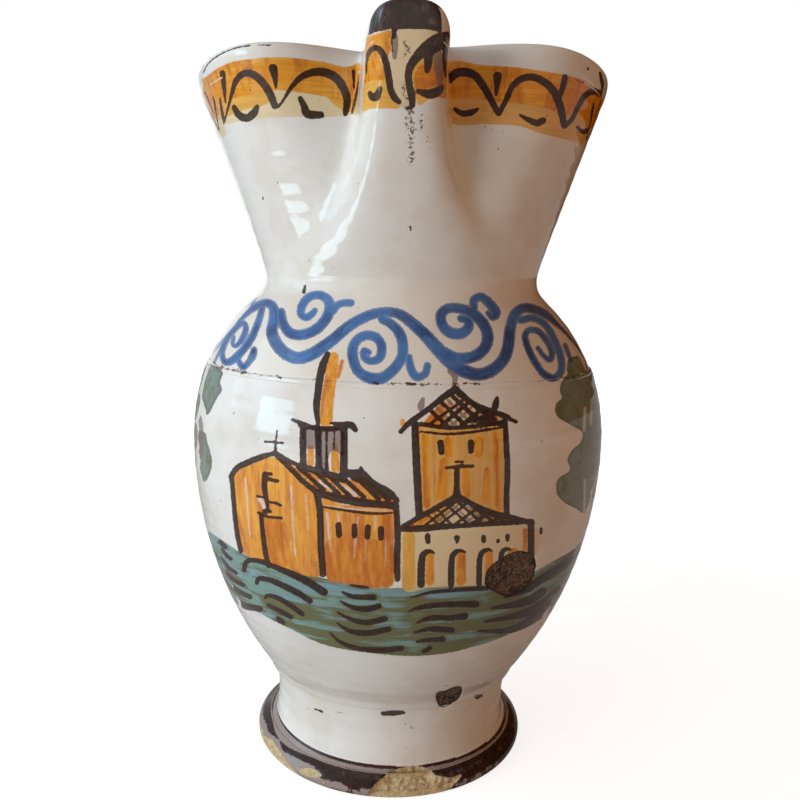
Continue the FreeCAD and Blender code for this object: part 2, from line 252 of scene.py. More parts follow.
# The stage: lamps as (name, place, what it looks at, width and height, power, colour), the room and the floor
LAMPS = (
    ("window_light", (-1.05, -0.79, 0.26), (-0.02, -0.07, 0.15), (0.85, 0.55), 11.9, (0.88, 0.95, 1.0)),
    ("left_fill", (-1.3, -0.1, 0.75), (0, 0, 0.15), (0.9, 0.9), 3.0, (0.5, 0.78, 1.0)),
    ("warm_fill", (1.1, -0.7, 0.45), (0, 0, 0.13), (0.8, 0.8), 2.9, (1.0, 0.46, 0.08)),
    ("window_pane", (-1.21, -0.52, 0.33), (-0.0386, -0.0757, 0.15), (0.5, 0.36), 2.7, (0.5, 0.82, 1.0)),
    ("low_glow", (-0.36, -0.16, 0.02), (-0.026, -0.05, 0.209), (0.2, 0.16), 0.5, (0.7, 0.9, 1.0)),
)
UNMIRRORED_LAMPS = ("window_light", "warm_fill")
MIRRORED_ONLY_LAMPS = ("window_pane", "low_glow")
ROOM_LEFT = (0.8, 0.93, 1.08)
ROOM_RIGHT = (0.15, 0.04, 0.003)
ROOM_FRONT = (0.3, 0.3, 0.3)
ROOM_DIMMED_IN_MIRRORS = 0.6
FLOOR_REACH = 6
FLOOR_COLOUR = (0.43, 0.4, 0.37)
FLOOR_MIRRORED = 0.12
BLACK = (0, 0, 0)
WHITE = (1, 1, 1)

# A mark is a list of points. Three numbers a point make a brush stroke, (x, y, width) in the picture's
# pixels; two numbers a point make a filled area.
SCROLL = (
    # the long wave
    ((214, 362, 3), (222, 347, 4), (231, 331, 5), (243, 316, 7), (255, 307, 8), (266, 303, 9),
     (273, 307, 10), (274, 318, 11), (272, 332, 12), (276, 343, 13), (285, 353, 13), (297, 358, 13),
     (310, 355, 13), (323, 347, 12.5), (336, 337, 12), (348, 327, 11.5), (361, 319, 11), (375, 313.5, 10.5),
     (388, 312, 10), (400, 314.5, 11), (412, 323, 12), (424, 334, 13), (436, 347, 14), (449, 361, 14),
     (463, 370.5, 14), (478, 374.5, 13), (492, 370.5, 13), (503, 360, 12.5), (508, 347, 12.5),
     (510, 330, 11.5), (514, 316, 11), (521, 309, 10.5), (531, 308.5, 10), (544, 313.5, 9), (557, 323, 8),
     (568, 333, 6.5), (577, 346, 5), (585, 361, 4)),
    # the first curl, up, and its tail
    ((281, 312, 9), (283, 323, 10), (289, 332, 11), (298, 335, 11), (309, 333, 11), (319, 327, 11),
     (327, 317, 11), (330, 306, 11), (326, 298, 10), (317, 295, 9), (308, 298, 9), (302, 306, 9),
     (301, 314, 8), (306, 317.5, 8), (312, 314, 7.5), (315, 310.5, 6)),
    ((333, 311, 8), (338, 305, 8), (345, 303, 8), (351, 303, 8)),
    # the far left coil, down, and its tail
    ((262, 309, 7), (259, 320, 7.5), (252, 337, 8), (243, 350, 8.5), (233, 360, 8.5), (225, 362, 7),
     (222.5, 353, 5.5), (227, 340, 5.5), (235, 329, 6), (243, 323, 6), (246, 329, 6.5), (242, 339, 6.5),
     (236, 346, 5), (232.5, 343, 4.5), (234, 337, 4)),
    ((238, 360, 6), (243, 367, 7), (249, 362, 7), (253, 355, 8), (254, 350, 7)),
    # the middle coil, down, and its tail
    ((382, 319, 9), (391, 324, 10), (400, 334, 11), (403, 347, 11), (401, 359, 11), (393, 370, 11.5),
     (382, 378, 12), (370, 378, 12), (359, 372, 11), (354, 362, 11), (352.5, 350, 11), (357, 340, 10),
     (366, 335.5, 10), (376, 337.5, 10), (381.5, 346, 10), (380, 357, 9.5), (372, 361, 8.5), (365, 358, 8),
     (364, 351, 7.5), (369, 352.5, 6)),
    ((409, 357, 7), (411, 369, 9), (417, 377, 9), (425, 374, 8), (427.5, 366, 8)),
    # the second curl, up, and its tail
    ((444, 352, 11), (455, 357.5, 11.5), (468, 358, 12), (480, 353, 12), (487, 343, 12), (487, 332, 12),
     (481, 321, 12), (472, 313, 11.5), (460, 308.5, 10.5), (448, 308.5, 10.5), (441, 315, 11),
     (443, 326, 11), (451, 333, 11.5), (461, 333.5, 11.5), (468, 328, 11), (468, 321, 9), (461, 318.5, 8)),
    ((474, 308, 8), (474, 300, 9), (481, 297, 9), (489, 303, 10), (496, 312, 10), (493, 317, 8),
     (488, 313, 6)),
    # the right coil, down, and its tail
    ((521, 320, 8), (532, 318, 7.5), (543, 323, 7.5), (551, 333, 7.5), (557, 346, 8), (561, 358, 8),
     (561, 371, 8), (554, 378, 8), (544, 374, 8), (535, 362, 7.5), (528, 348, 7.5), (525, 336, 7),
     (530, 330, 7), (539, 332, 7), (547, 341, 7), (552, 352, 7), (550, 360, 6), (543, 355, 5.5),
     (538, 348, 5)),
    ((565, 345, 5), (568, 353, 5), (571, 361, 4)),
)

# The band's upper edges left and right of the beak, which its washes share
BAND_LEFT_TOP = ((196, 84), (206, 77), (218, 68), (232, 62), (250, 59), (270, 57.5), (293, 58), (323, 62),
                 (345, 67), (364, 65))
BAND_RIGHT_TOP = ((449, 64), (480, 65), (517, 67.5), (547, 72), (577, 78), (593, 87), (610, 100))
BAND_CREAM = (
    (*BAND_LEFT_TOP, (364, 110), (350, 115), (330, 117), (307, 117), (285, 117), (263, 118), (243, 121),
     (227, 124), (205, 126)),
)
BAND_OCHRE = (
    ((196, 84), (230, 80), (268, 80), (273, 96), (262, 106), (244, 110), (228, 116), (205, 122)),
    ((328, 96), (346, 98), (364, 95), (364, 108), (350, 112), (336, 106)),
    (*BAND_RIGHT_TOP, (604, 152), (578, 143), (560, 138), (540, 133), (518, 126), (488, 124), (449, 120)),
)
BAND_ORANGE = (
    (*BAND_LEFT_TOP, (364, 98), (352, 102), (340, 100), (317, 95), (297, 92), (275, 90), (258, 94),
     (240, 97), (224, 101), (205, 106)),
    (*BAND_RIGHT_TOP, (604, 128), (585, 120), (560, 112), (530, 105), (500, 102), (475, 98), (449, 95)),
)
BAND_BROWN = (
    # left of the beak: arches, upright dashes and dabs
    ((224, 123, 2), (228, 108, 2.5), (232, 93, 4), (236, 81, 6), (244, 73.5, 7.5), (254, 75, 8),
     (263, 83, 8), (270, 94, 8), (275, 106, 7)),
    ((278, 108, 2), (284, 99, 3), (291, 88, 4.5), (300, 78, 6.5), (312, 72.5, 8), (325, 72.5, 9),
     (336, 78, 9), (343, 87, 8.5), (347, 99, 8), (346, 110, 6.5), (345, 114.5, 4)),
    ((222.5, 73, 6), (224, 86, 4.5), (225.5, 103, 1.5)),
    ((273, 68, 9), (275, 78, 6), (276, 88, 2.5)),
    ((353.5, 71, 3.5), (354, 88, 2)),
    ((362.5, 66, 3), (358, 88, 3), (352, 113, 2.5)),
    ((234, 107, 5), (239, 115, 7.5), (247, 118, 8), (254, 113, 8), (257, 107, 5)),
    ((300, 98, 5), (304, 106, 7), (308, 114, 9), (321, 115, 7)),
    ((220, 98, 2), (222, 112, 3), (224, 122, 2)),
    ((214.5, 118, 2), (216.5, 129, 3)),
    # right of the beak
    ((449, 80, 8), (455, 74, 9), (464, 72, 9), (474, 75, 8.5), (482, 84, 8), (490, 98, 7), (498, 113, 6)),
    ((499, 114, 5), (506, 100, 5.5), (512, 87, 6), (521, 79, 7), (531, 77, 7.5), (541, 80, 8), (551, 88, 8),
     (558, 100, 8), (562, 114, 7.5), (564, 126, 6)),
    ((565, 126, 5), (572, 119, 5), (578, 107, 5), (585, 96, 6), (594, 91.5, 7), (606, 98, 7)),
    ((497.5, 76, 9), (497, 85, 6), (496, 95, 3)),
    ((565, 77, 6), (562.5, 88, 6), (559, 98, 5)),
    ((455, 109, 4), (462, 113.5, 6), (471, 112.5, 6.5), (478, 109, 3)),
    ((520, 115, 3), (529, 120, 5.5), (537, 123, 7), (543, 120.5, 7)),
    ((577, 127, 3), (583, 132, 5), (588, 130, 5)),
    ((575, 79, 1.2), (590, 86, 1.8), (598, 93, 2.4), (605, 97, 3)),
)
BEAK_CREAM = (
    ((355, 36), (366, 36), (380, 31.5), (391, 29), (406, 29), (425, 29.5), (440, 32), (458, 36), (458, 112),
     (449, 101), (440, 98), (428, 100), (420, 104), (406, 107), (390, 108.5), (372, 108.5), (355, 110)),
)
BEAK_OCHRE = (
    ((355, 78), (388, 78), (393, 96), (400, 107.5), (385, 108.5), (372, 108.5), (355, 110)),
    ((412, 72), (420, 60), (446, 58), (458, 60), (458, 112), (449, 101), (440, 98), (428, 100), (418, 104)),
)
BEAK_ORANGE = (
    ((355, 46), (366, 37.5), (378, 33.5), (390.5, 31), (391, 48), (387, 60), (389, 78), (372, 81),
     (355, 83)),
    ((415, 74), (424, 64), (436, 68), (444, 74), (444, 85), (434, 86), (418, 89)),
    ((446, 60), (458, 58), (458, 98), (447, 94)),
)
BEAK_DEEP = (
    ((414, 76), (421, 64), (432, 66), (446, 62), (446, 96), (430, 92), (416, 90)),
)
BEAK_MAUVE = (
    ((394.5, 36, 6.5), (395, 46, 6.5), (394.5, 57.5, 4.5)),
    ((437, 50, 8), (438, 62, 9), (439.5, 76, 7), (440, 84, 5)),
    ((385, 12, 3), (384, 20, 4), (382.5, 26, 3)),
)
BEAK_BROWN = (
    ((366.5, 74, 1.2), (366.5, 62, 3), (368.5, 53.5, 4.5), (372, 49, 5.5), (376.5, 47.8, 6),
     (380.5, 50.5, 6.5), (384, 57, 7), (387, 67, 7.2), (388.7, 78, 7.2), (390.5, 89, 7), (394, 97, 7),
     (399, 102, 5.5)),
    ((369.5, 92.5, 4), (372.5, 97, 7.5), (376.5, 96.5, 8), (380, 88.5, 5)),
    ((394, 30, 6), (394, 36.5, 4.5)),
    ((391.7, 36, 1.6), (392.3, 52, 1.4)),
    ((447, 38, 13), (438, 42, 17), (430, 47, 16), (422, 52, 12), (416, 58, 9.5), (411, 65, 8.5),
     (408.5, 73, 7.5), (409, 83, 7.5), (411, 93, 7.5), (412.3, 102, 6.5), (411.5, 106, 4)),
    ((431, 46, 9), (428.7, 56, 9), (428, 65, 8), (427, 71, 5.5)),
    ((447, 38, 7.5), (446, 50, 6.5), (445.2, 62, 6), (446, 76, 4)),
    ((438, 41, 9), (442, 47, 6)),
    ((418, 91, 5), (424, 93, 7.5), (430, 94, 9.5), (437, 92, 9.5), (441, 87.5, 6)),
    ((407, 108, 3), (411, 107.5, 4), (414, 105.5, 3)),
    ((405, 120.5, 2.4), (409, 120.5, 2.2)),
    ((411.5, 133.5, 2.2), (413, 135, 2.2)),
)
BEAK_PITS = (
    ((402, 86, 9), (408, 104, 15), (409, 118, 14), (411, 136, 13), (411, 152, 11), (411, 172, 5)),
    ((422, 110, 7), (421, 128, 8), (430, 142, 7), (428, 160, 4)),
    ((402, 38, 8), (408, 48, 10), (404, 58, 7)),
)
CAP_BROWN = (
    ((340, -20), (340, 36), (368, 35), (374, 32.7), (382, 30.8), (391, 29), (406, 29.2), (420, 29.2),
     (427.6, 29.6), (435, 31), (441.5, 31.5), (441.5, 20), (440, 11), (437, 4), (434, -20)),
    ((448, 18, 2.6), (448.3, 21, 2)),
)
CAP_BARE = (
    ((367, 36.3, 1.4), (374, 33.6, 1.6), (382, 31.6, 1.8), (388, 30, 1.4)),
    ((430, 24, 1.2), (431, 29.5, 1.6)),
)
RIM_BROWN = (
    ((203, 73, 1.2), (208, 64, 1.3), (216, 57, 1.4), (226, 51.5, 1.5), (238, 47.5, 1.6), (250, 45.5, 1.3)),
    ((258, 44.8, 1), (268, 45.2, 1.4), (273, 45.1, 0.9)),
    ((600, 73, 3), (602.5, 84, 4), (604, 97, 4)),
    ((588, 68, 2), (588, 69.5, 2)),
)

CHURCH_ORANGE = (
    ((233, 478), (240, 469), (252, 464), (273, 457), (290, 470), (304, 484), (316, 494), (319, 512),
     (320, 545), (322, 575), (300, 574), (283, 568), (265, 563), (250, 557), (242, 551), (237, 533),
     (234, 505)),
    ((322, 499), (345, 505), (394, 508), (394, 540), (394, 582), (380, 588), (362, 587), (345, 583),
     (328, 579), (323, 560)),
    ((277, 458), (300, 467), (345, 480), (362, 477), (380, 489), (396, 503), (370, 503), (340, 498),
     (318, 492), (300, 479)),
)
CHURCH_DEEP = (
    ((267, 520), (281, 520), (284, 545), (287, 566), (270, 562)),
    ((328, 540), (392, 545), (394, 582), (380, 588), (350, 585), (328, 579)),
    ((360, 517, 8), (362, 580, 9)),
    ((386, 517, 8), (386, 580, 9)),
)
CHURCH_BARE = (
    ((321, 481, 5), (333, 489, 6)),
    ((337, 483, 4), (345, 489, 4)),
    ((346, 488, 4), (355, 495, 5)),
    ((324, 506, 1.6), (350, 508.8, 2), (391, 510.6, 1.6)),
    ((327, 513, 2.6), (329, 535, 2.4), (331, 552, 1)),
    ((358, 517, 1.8), (355.5, 540, 2.2), (354, 558, 1)),
    ((338, 514, 1.6), (339, 530, 1)),
    ((366, 538, 1.4), (365.5, 562, 1)),
    ((375.5, 516, 2), (375, 530, 1.4)),
    ((386, 540, 1.4), (385, 566, 1)),
    ((245, 478, 1.4), (247, 500, 1.8), (250, 536, 1)),
    ((291, 486, 2), (293, 520, 1.6), (295, 556, 1)),
    ((306, 494, 1.4), (308, 530, 1)),
    ((260, 499, 4), (265, 508, 4)),
)
CHURCH_BROWN = (
    ((231.5, 475, 5), (234, 505, 5), (237, 533, 5), (241, 551, 5)),
    ((231, 477, 5), (237, 468, 6), (250, 461.5, 6.5), (263, 456.5, 6), (275, 453, 4)),
    ((275, 454, 5), (290, 468, 5.5), (303, 481.5, 5.5), (318, 493, 6)),
    ((317, 492, 7), (320, 513, 7), (321, 547, 7), (323, 574, 7)),
    ((316, 492, 7), (337, 498, 8.5), (362, 502.5, 8.5), (381, 504.5, 7.5), (396, 506, 7)),
    ((396, 503, 6), (397.5, 530, 6.5), (397, 560, 7), (397.5, 579, 6)),
    # the roof's ridge and its slanting tiles
    ((277, 453, 4), (288, 460, 4), (300, 466, 4)),
    ((346, 472, 6), (356, 472.5, 6), (363, 473, 6), (371, 481, 6), (380, 487, 6), (390, 493, 5.5),
     (397, 500, 5.5)),
    ((361, 468, 4), (366, 484, 3)),
    ((346, 471), (362, 470), (376, 481), (392, 490), (398, 500), (386, 497), (368, 487), (352, 480)),
    ((298, 467, 4.5), (324, 490, 4.5)),
    ((316, 473, 4), (339, 494, 4.5)),
    ((330, 477, 4), (351, 497, 4.5)),
    ((343, 478, 5), (364, 497, 4.5)),
    ((357, 478, 5), (379, 499, 5)),
    ((370, 484, 4), (389, 501, 4)),
    # the cross on the gable
    ((277, 431, 2.4), (275.5, 443, 2.4), (275.5, 453, 4)),
    ((265, 441.5, 2.6), (283, 443, 2.6)),
    # marks on the front, the lintel and the door
    ((265, 474, 6), (264.5, 487, 6), (266.5, 500, 4.5), (268, 510, 3)),
    ((265, 474, 4), (271, 474, 4)),
    ((268, 479, 4), (277.5, 481, 4)),
    ((257, 496, 2.4), (266, 498, 2.4)),
    ((268, 502, 3), (275, 503, 3), (281, 505.5, 3)),
    ((264, 511, 4), (270, 511.5, 4)),
    ((258, 512.5, 3), (268, 516.7, 3), (281.7, 518, 3)),
    ((261, 515, 4.5), (262.5, 530, 5), (265, 550, 5.5), (268.5, 566, 5)),
    # the side wall: cornice, windows and foot
    ((323, 507, 2.4), (350, 511, 3), (372, 513.5, 3), (391.7, 513, 2.4)),
    ((338.5, 525, 6.5), (339, 535, 6.5)),
    ((354.5, 526, 6), (354.5, 535.5, 6)),
    ((368, 527.5, 6.5), (367.5, 537, 6)),
    ((381, 529, 6.5), (381, 538, 6)),
    ((350, 585, 2), (359, 586.5, 3.5), (368, 587.5, 2.5)),
)
LANTERN_ORANGE = (
    ((310.5, 448, 6), (310.5, 464, 7)),
    ((335, 446, 7), (335.5, 469, 9)),
    ((333.5, 357, 10), (331.5, 372, 12), (329.5, 386, 12.5), (327.5, 400, 13), (326, 421, 13)),
    ((342, 361, 3.5), (340.5, 368, 4), (338, 377, 4)),
)
LANTERN_MAUVE = (
    ((305, 428), (342, 430), (343, 456), (338, 452), (330, 453), (326, 474), (320, 470), (316, 450),
     (306, 448)),
)
LANTERN_BROWN = (
    ((303, 427, 7), (303, 450, 7), (303.5, 468, 6.5)),
    ((318, 429, 7.5), (318.5, 450, 6.5), (319, 472, 7.5)),
    ((344, 429, 7.5), (344, 450, 7.5), (343.5, 478, 8.5)),
    ((326.5, 432, 3), (326.5, 450, 2.4), (327, 474, 5)),
    ((334, 432, 2), (334, 449, 2)),
    ((303, 467, 6), (320, 472, 7.5), (343, 479, 8)),
    ((300, 425, 5), (325, 429, 5.5), (345, 427, 5)),
    ((331, 423, 3), (341, 424.5, 5.5), (351, 425, 7), (355.5, 430, 5.5)),
    ((292.5, 419.5, 3.5), (303, 424, 5), (313, 428, 5)),
    ((327.5, 354, 6), (323, 365, 8), (320, 377.5, 8), (318, 392.5, 7.5), (316.5, 407.5, 7),
     (318, 423, 4.5)),
)
TOWER_CREAM = (
    ((424, 425), (440, 405), (455, 393), (480, 407), (503, 418), (473, 427), (448, 429)),
    ((404, 529), (430, 512), (456, 498), (494, 512), (528, 521), (473, 526), (440, 528)),
    ((402, 531), (440, 530), (532, 525), (533, 560), (500, 584), (470, 586), (430, 588), (403, 588)),
)
TOWER_OCHRE = (
    ((418, 425), (448, 429), (476, 427), (503, 423), (505, 455), (506, 500), (503, 514), (480, 508),
     (457, 497), (437, 508), (421, 514), (419, 480), (418, 450)),
    ((404, 529), (420, 519), (440, 508), (452, 502), (440, 527), (420, 529)),
    ((404, 533), (414, 532), (415, 560), (415, 587), (403, 588), (403, 560)),
    ((474, 506), (494, 514), (526, 522), (486, 524)),
)
TOWER_ORANGE = (
    ((424, 424), (432, 413), (441, 405), (446, 412), (441, 428)),
    ((425, 436, 7), (426, 470, 7), (427, 505, 7)),
    ((434, 436, 2), (435, 500, 2)),
    ((444, 462, 9), (442, 495, 10)),
    ((466, 470, 8), (467, 494, 8)),
    ((487, 470, 6), (486, 500, 8)),
    ((496, 434, 5), (497, 510, 6)),
    ((448.5, 441, 9), (448.5, 453, 9)),
    ((479, 441, 9), (478.5, 453, 9)),
    ((525, 530, 4.5), (525, 556, 4.5)),
    ((430, 555, 8), (430, 581, 9)),
    ((461, 554, 9), (461, 581, 10)),
    ((489, 553, 8), (489, 577, 9)),
    ((511, 552, 6), (516, 550, 5)),
    ((402.5, 421, 5), (402.5, 424, 5)),
    ((406, 527, 5), (422, 520, 6), (434, 513, 5)),
)
TOWER_DEEP = (
    ((424, 425), (436, 409), (444, 412), (440, 428)),
    ((482, 409), (502, 418), (496, 425), (484, 424)),
    ((497, 440, 3), (497.5, 505, 3.5)),
    ((432.5, 556, 2.5), (432.5, 580, 2.5)),
    ((464.5, 556, 3), (464.5, 580, 3)),
    ((432, 414, 3), (447, 404, 4), (470, 414, 4), (490, 420, 3)),
)
TOWER_BARE = (
    ((455, 411, 3.5), (461, 413.5, 4)),
    ((452, 405, 2), (456, 404, 2)),
)
TOWER_BROWN = (
    ((415, 424, 7.5), (416, 455, 8), (417.5, 483, 8), (419, 513, 7.5)),
    ((505, 420, 5), (506.5, 447, 6), (507.5, 473, 6), (506.5, 497, 6), (507, 517, 5.5)),
    # the upper roof
    ((401, 431.5, 5), (408, 424, 5.5), (416, 418, 6), (431, 407, 6), (445, 396, 7), (455, 390, 8)),
    ((455, 389, 8), (470, 401.5, 6), (483, 408, 5.5), (504, 415.5, 5.5), (512, 420, 4), (516, 422, 4)),
    ((421, 424, 5), (448, 428, 4), (473, 426.5, 4), (503, 422.5, 5)),
    ((430, 410, 4.2), (448, 427, 4.2)),
    ((441, 402, 4.2), (466, 426, 4.6)),
    ((453, 397, 4.2), (483, 424, 5)),
    ((466, 400, 4.2), (495, 420, 5)),
    ((469, 402, 4.2), (441, 426, 4.2)),
    ((482, 409, 4.2), (461, 426, 4.6)),
    ((494, 414, 4.2), (478, 425, 5)),
    ((462, 401, 3), (430, 424, 3)),
    ((466, 421, 4), (480, 419, 6), (494, 419.5, 5)),
    ((420, 431.5, 2.4), (448, 434, 3), (476.5, 431.5, 3), (501.5, 427.5, 2.4)),
    # windows and the cross
    ((440.5, 443, 7), (441.5, 452, 6.5)),
    ((471, 443, 7), (471, 451, 6)),
    ((446, 468, 3), (460, 466.5, 3.5), (473, 466, 3.5)),
    ((455.5, 461.7, 3), (463, 462, 3)),
    ((456.7, 469, 6), (456.7, 485, 6), (456.7, 495, 8)),
    ((497, 398, 4), (495.5, 405, 7.5), (495, 409, 4)),
    # the lower roof
    ((402, 527, 5), (418, 518, 5.5), (438, 507, 6), (456, 497, 7)),
    ((457, 496, 7), (473, 504.5, 5.5), (493, 513, 6), (513, 518, 6), (532, 523, 6)),
    ((403, 529, 6), (420, 528.5, 7), (440, 527, 6), (473, 525, 5), (507, 523, 5), (530, 521.5, 5)),
    ((428, 515, 2.6), (440, 526, 2.6)),
    ((437, 509, 2.8), (452, 525, 2.8)),
    ((446, 504, 2.8), (468, 524, 3)),
    ((456, 500, 2.8), (482, 523, 3.4)),
    ((470, 505, 3.2), (494, 522, 3.6)),
    ((484, 511, 3.4), (506, 522, 3.6)),
    ((457, 501, 2.8), (424, 526, 2.8)),
    ((466, 504, 2.8), (438, 526, 2.8)),
    ((478, 508, 3), (454, 525, 3)),
    ((490, 512, 3.4), (471, 524, 3.4)),
    ((502, 516, 3.6), (488, 523, 3.6)),
    # the lower wall: studs and doors
    ((531, 522, 7), (531, 540, 7), (531, 556, 7)),
    ((427.5, 536, 6), (428, 542, 5)),
    ((457, 538, 6.5), (457, 543, 2.5)),
    ((483.5, 537, 5), (483.5, 541, 5)),
    ((498, 540.5, 4), (498, 541.5, 4)),
    ((507.5, 536, 5), (507.5, 540, 4)),
    ((421, 584, 8), (421.5, 562, 7.5), (424, 553.5, 6), (430, 551, 4), (434, 553, 2.5)),
    ((451, 585, 6.5), (451.5, 562, 6.5), (454, 553.5, 5.5), (460, 550.5, 4), (465, 552, 2.5)),
    ((479, 583, 6), (479.5, 561, 6), (482, 552.5, 5.5), (488, 549.5, 4), (492, 551, 2.5)),
    ((501, 560, 6), (502, 552, 5), (507, 549, 4), (511, 550, 2.5)),
    ((541, 529, 3.5), (541, 533, 3)),
)
FINIALS_MAUVE = (
    ((423, 399, 4), (421, 406, 7), (420.5, 410, 3)),
    ((449, 371, 4), (455, 377, 6), (454, 385, 4)),
    # the mauve side of the tree at the picture's left edge
    ((197, 418), (201, 416), (203, 425), (203.5, 440), (202, 455), (199, 462), (194, 455), (190, 440),
     (192, 420)),
)
TOWER_MAUVE = (
    # thin strokes between the roofs' brown ones
    ((437, 408, 2.8), (457, 427, 2.8)),
    ((448, 400, 2.8), (474, 426, 2.8)),
    ((474, 405, 2.8), (450, 427, 2.8)),
    ((486, 411, 2.8), (470, 426, 2.8)),
    ((433, 512, 2.2), (446, 526, 2.2)),
    ((450, 503, 2.2), (474, 524, 2.2)),
    ((463, 503, 2.2), (488, 523, 2.2)),
    ((461, 503, 2.2), (431, 526, 2.2)),
    ((484, 511, 2.2), (463, 524, 2.2)),
)

SEA_AREA = (
    ((190, 516), (205, 528), (212, 533), (225, 542), (240, 552), (262, 562), (290, 570), (318, 577),
     (345, 582), (371, 587), (400, 588), (447, 586), (483, 584), (530, 573), (555, 560), (575, 549),
     (604, 530), (604, 590), (575, 598), (547, 612), (523, 627), (503, 637), (480, 645), (447, 653),
     (413, 656), (380, 654), (337, 648), (312, 640), (295, 631), (278, 623), (258, 612), (240, 603),
     (222, 594), (196, 586)),
)
SEA_BROWN = (
    ((220, 542, 5), (226, 547.5, 4)),
    ((222, 549, 3), (227, 556, 4), (231, 559, 4)),
    ((221, 557, 2), (228, 567, 4), (236, 573, 4)),
    ((223, 567, 2.5), (231.5, 578, 4), (243, 585, 4.5)),
    ((227, 580, 3), (237, 590, 5), (250, 597, 5)),
    ((232, 594, 3), (243, 605, 6.5), (260, 609, 6)),
    ((244, 570, 5), (246, 562.5, 5), (252, 560, 5), (263, 562, 5), (275, 567, 5.5), (292, 574, 7),
     (308, 582, 8), (324, 592, 8)),
    ((256.7, 583, 4), (259, 578.5, 5), (270, 580, 5.5), (285, 586.5, 6.5), (298, 593, 7), (310, 601, 6)),
    ((265, 598, 3), (267.5, 595.5, 4), (278, 598, 5), (292, 606.5, 5.5), (302, 614, 5.5)),
    ((268, 605, 4), (278, 610, 5), (291, 617, 5)),
    ((278, 618.5, 5), (283, 622.5, 5)),
    ((342, 592, 2.5), (353, 596.5, 5), (374, 597.5, 6)),
    ((340, 601, 2), (353, 607.5, 5), (367, 609, 6.5), (379, 606, 6)),
    ((337, 612, 2), (348, 618, 4), (365, 622.5, 6), (385, 619, 6)),
    ((337, 623, 2), (350, 631, 5), (368, 633, 6.5), (389, 629, 5.5)),
    ((330, 633, 2), (342, 643, 4), (362, 649, 5.5), (385, 650, 6), (402, 648, 5)),
    ((410, 598, 1.5), (430, 592.5, 3.5), (455, 590, 4.5), (487, 588, 5)),
    ((408, 611.5, 2), (422, 607, 5), (447, 604.5, 6), (476, 604, 7)),
    ((416.7, 623, 2), (430, 618, 5.5), (450, 618, 6), (465, 616, 7)),
    ((414, 632.5, 2), (430, 629, 5.5), (452, 630, 6)),
    ((416.7, 641.7, 3), (430, 640, 5), (443, 639, 6)),
    ((424, 651.5, 4.5), (430, 648, 5)),
    ((492, 608, 3), (513, 605, 7), (530, 600, 8.5), (543, 591.5, 8)),
    ((485, 621.5, 3), (510, 617, 6), (530, 611.5, 9), (547, 601.5, 9)),
    ((478, 631, 2), (503, 631, 6), (523, 625, 8), (543, 613, 8)),
    ((505, 597, 3), (527, 590, 6), (538, 581.5, 8), (560, 568, 9), (575, 553, 8)),
    ((548, 596, 3), (566, 583, 6), (580, 566, 6)),
)
TREE_GREEN = (
    ((570, 358), (567, 367), (567, 375), (561, 383), (560, 392), (562, 398), (556.5, 403), (555, 410),
     (558, 417), (567, 423), (582, 432), (580, 443), (572, 450), (567.5, 460), (570, 470), (560, 477),
     (556, 485), (557.5, 495), (565, 503), (575, 508), (586, 513), (604, 500), (612, 440), (604, 380),
     (590, 356)),
    ((190, 352), (212, 358), (217, 366), (223, 373), (220, 382), (222, 390), (217, 398), (208, 415),
     (205, 408), (201, 397), (190, 390)),
    ((196, 433), (205, 433), (207.5, 443), (211.7, 458), (211, 470), (206, 481), (202, 479), (198, 465)),
)
TREE_BARE = (
    ((585, 408, 2.6), (584, 431, 2.2)),
    ((591.5, 404, 2.2), (591, 425, 2)),
    ((585, 480, 2), (584, 520, 2.4)),
    ((588, 366, 1.6), (575, 352, 1.4)),
)

# Small dark flaws in the glaze
RIDGE_FLAWS = (
    ((278, 377, 1.8), (281, 378, 2.4)),
    ((373, 382.5, 2.2), (378, 383.5, 2.6)),
    ((406, 383, 2.2), (412, 384.2, 3.2), (416, 384, 2)),
    ((464, 383.5, 2.4), (467, 383, 1.8)),
    ((305, 286, 2.5), (304, 292, 4)),
    ((263, 197, 2.4), (263, 200, 1.6)),
    ((410, 227, 2.6), (411, 230, 2)),
    ((315, 709, 2), (322, 711.5, 2.5)),
    ((335, 712, 1.5), (341, 713, 1.5)),
    ((383, 713.5, 4.5), (395, 713, 5.5), (404, 712.5, 3)),
    ((477, 697, 5), (482, 695.5, 3)),
    ((411, 727, 2), (413, 728, 2)),
)

# The chips down to the clay: how deep each is, and its outline
CHIPS = (
    # on the belly
    (1.3 * MM, ((486, 586), (486, 574), (491, 566), (501, 559), (512, 553), (522, 551), (534, 556),
     (536, 569), (531, 583), (521, 592), (509, 597), (497, 593))),
    # over the waist
    (0.9 * MM, ((436, 698), (437, 693), (444, 691), (449, 689), (455, 687), (461, 687), (462, 693),
     (458, 699), (452, 703), (446, 707), (439, 706))),
    # the flange's front
    (2.4 * MM, ((370, 806), (369, 793), (377, 782), (390, 772), (404, 767), (420, 766), (430, 770),
     (438, 775), (452, 777), (462, 774), (456, 784), (445, 795), (436, 806))),
    # the flange's left
    (1.3 * MM, ((262, 760), (262, 741), (270, 738), (276, 746), (284, 757), (293, 769), (300, 778),
     (292, 784), (280, 778), (268, 768))),
    # a flake beside it
    (0.4 * MM, ((300, 769), (312, 768), (322, 775), (314, 778), (302, 775))),
)
CHIP_BANK = 1.1 * MM

# The coats of paint, from the first that the potter laid to the last
COATS = ("sea", "cream", "ochre", "orange", "deep", "green", "blue", "mauve", "brown", "bare", "pits", "clay")
PAINT_REACH = 2.5 * MM

# A pixel's size on the jug, and what the picture's marks may reach: faces turned this much to the camera, up
# to this far behind the axis. The back's marks take up the rest, and all that is past an angle.
PIXELS_PER_MM = 2.8
PICTURE_STEP = MM / PIXELS_PER_MM
SEEN_SLANT = 0.2
SEEN_BACK = 30 * MM
BACK_START_ANGLE = 1.1

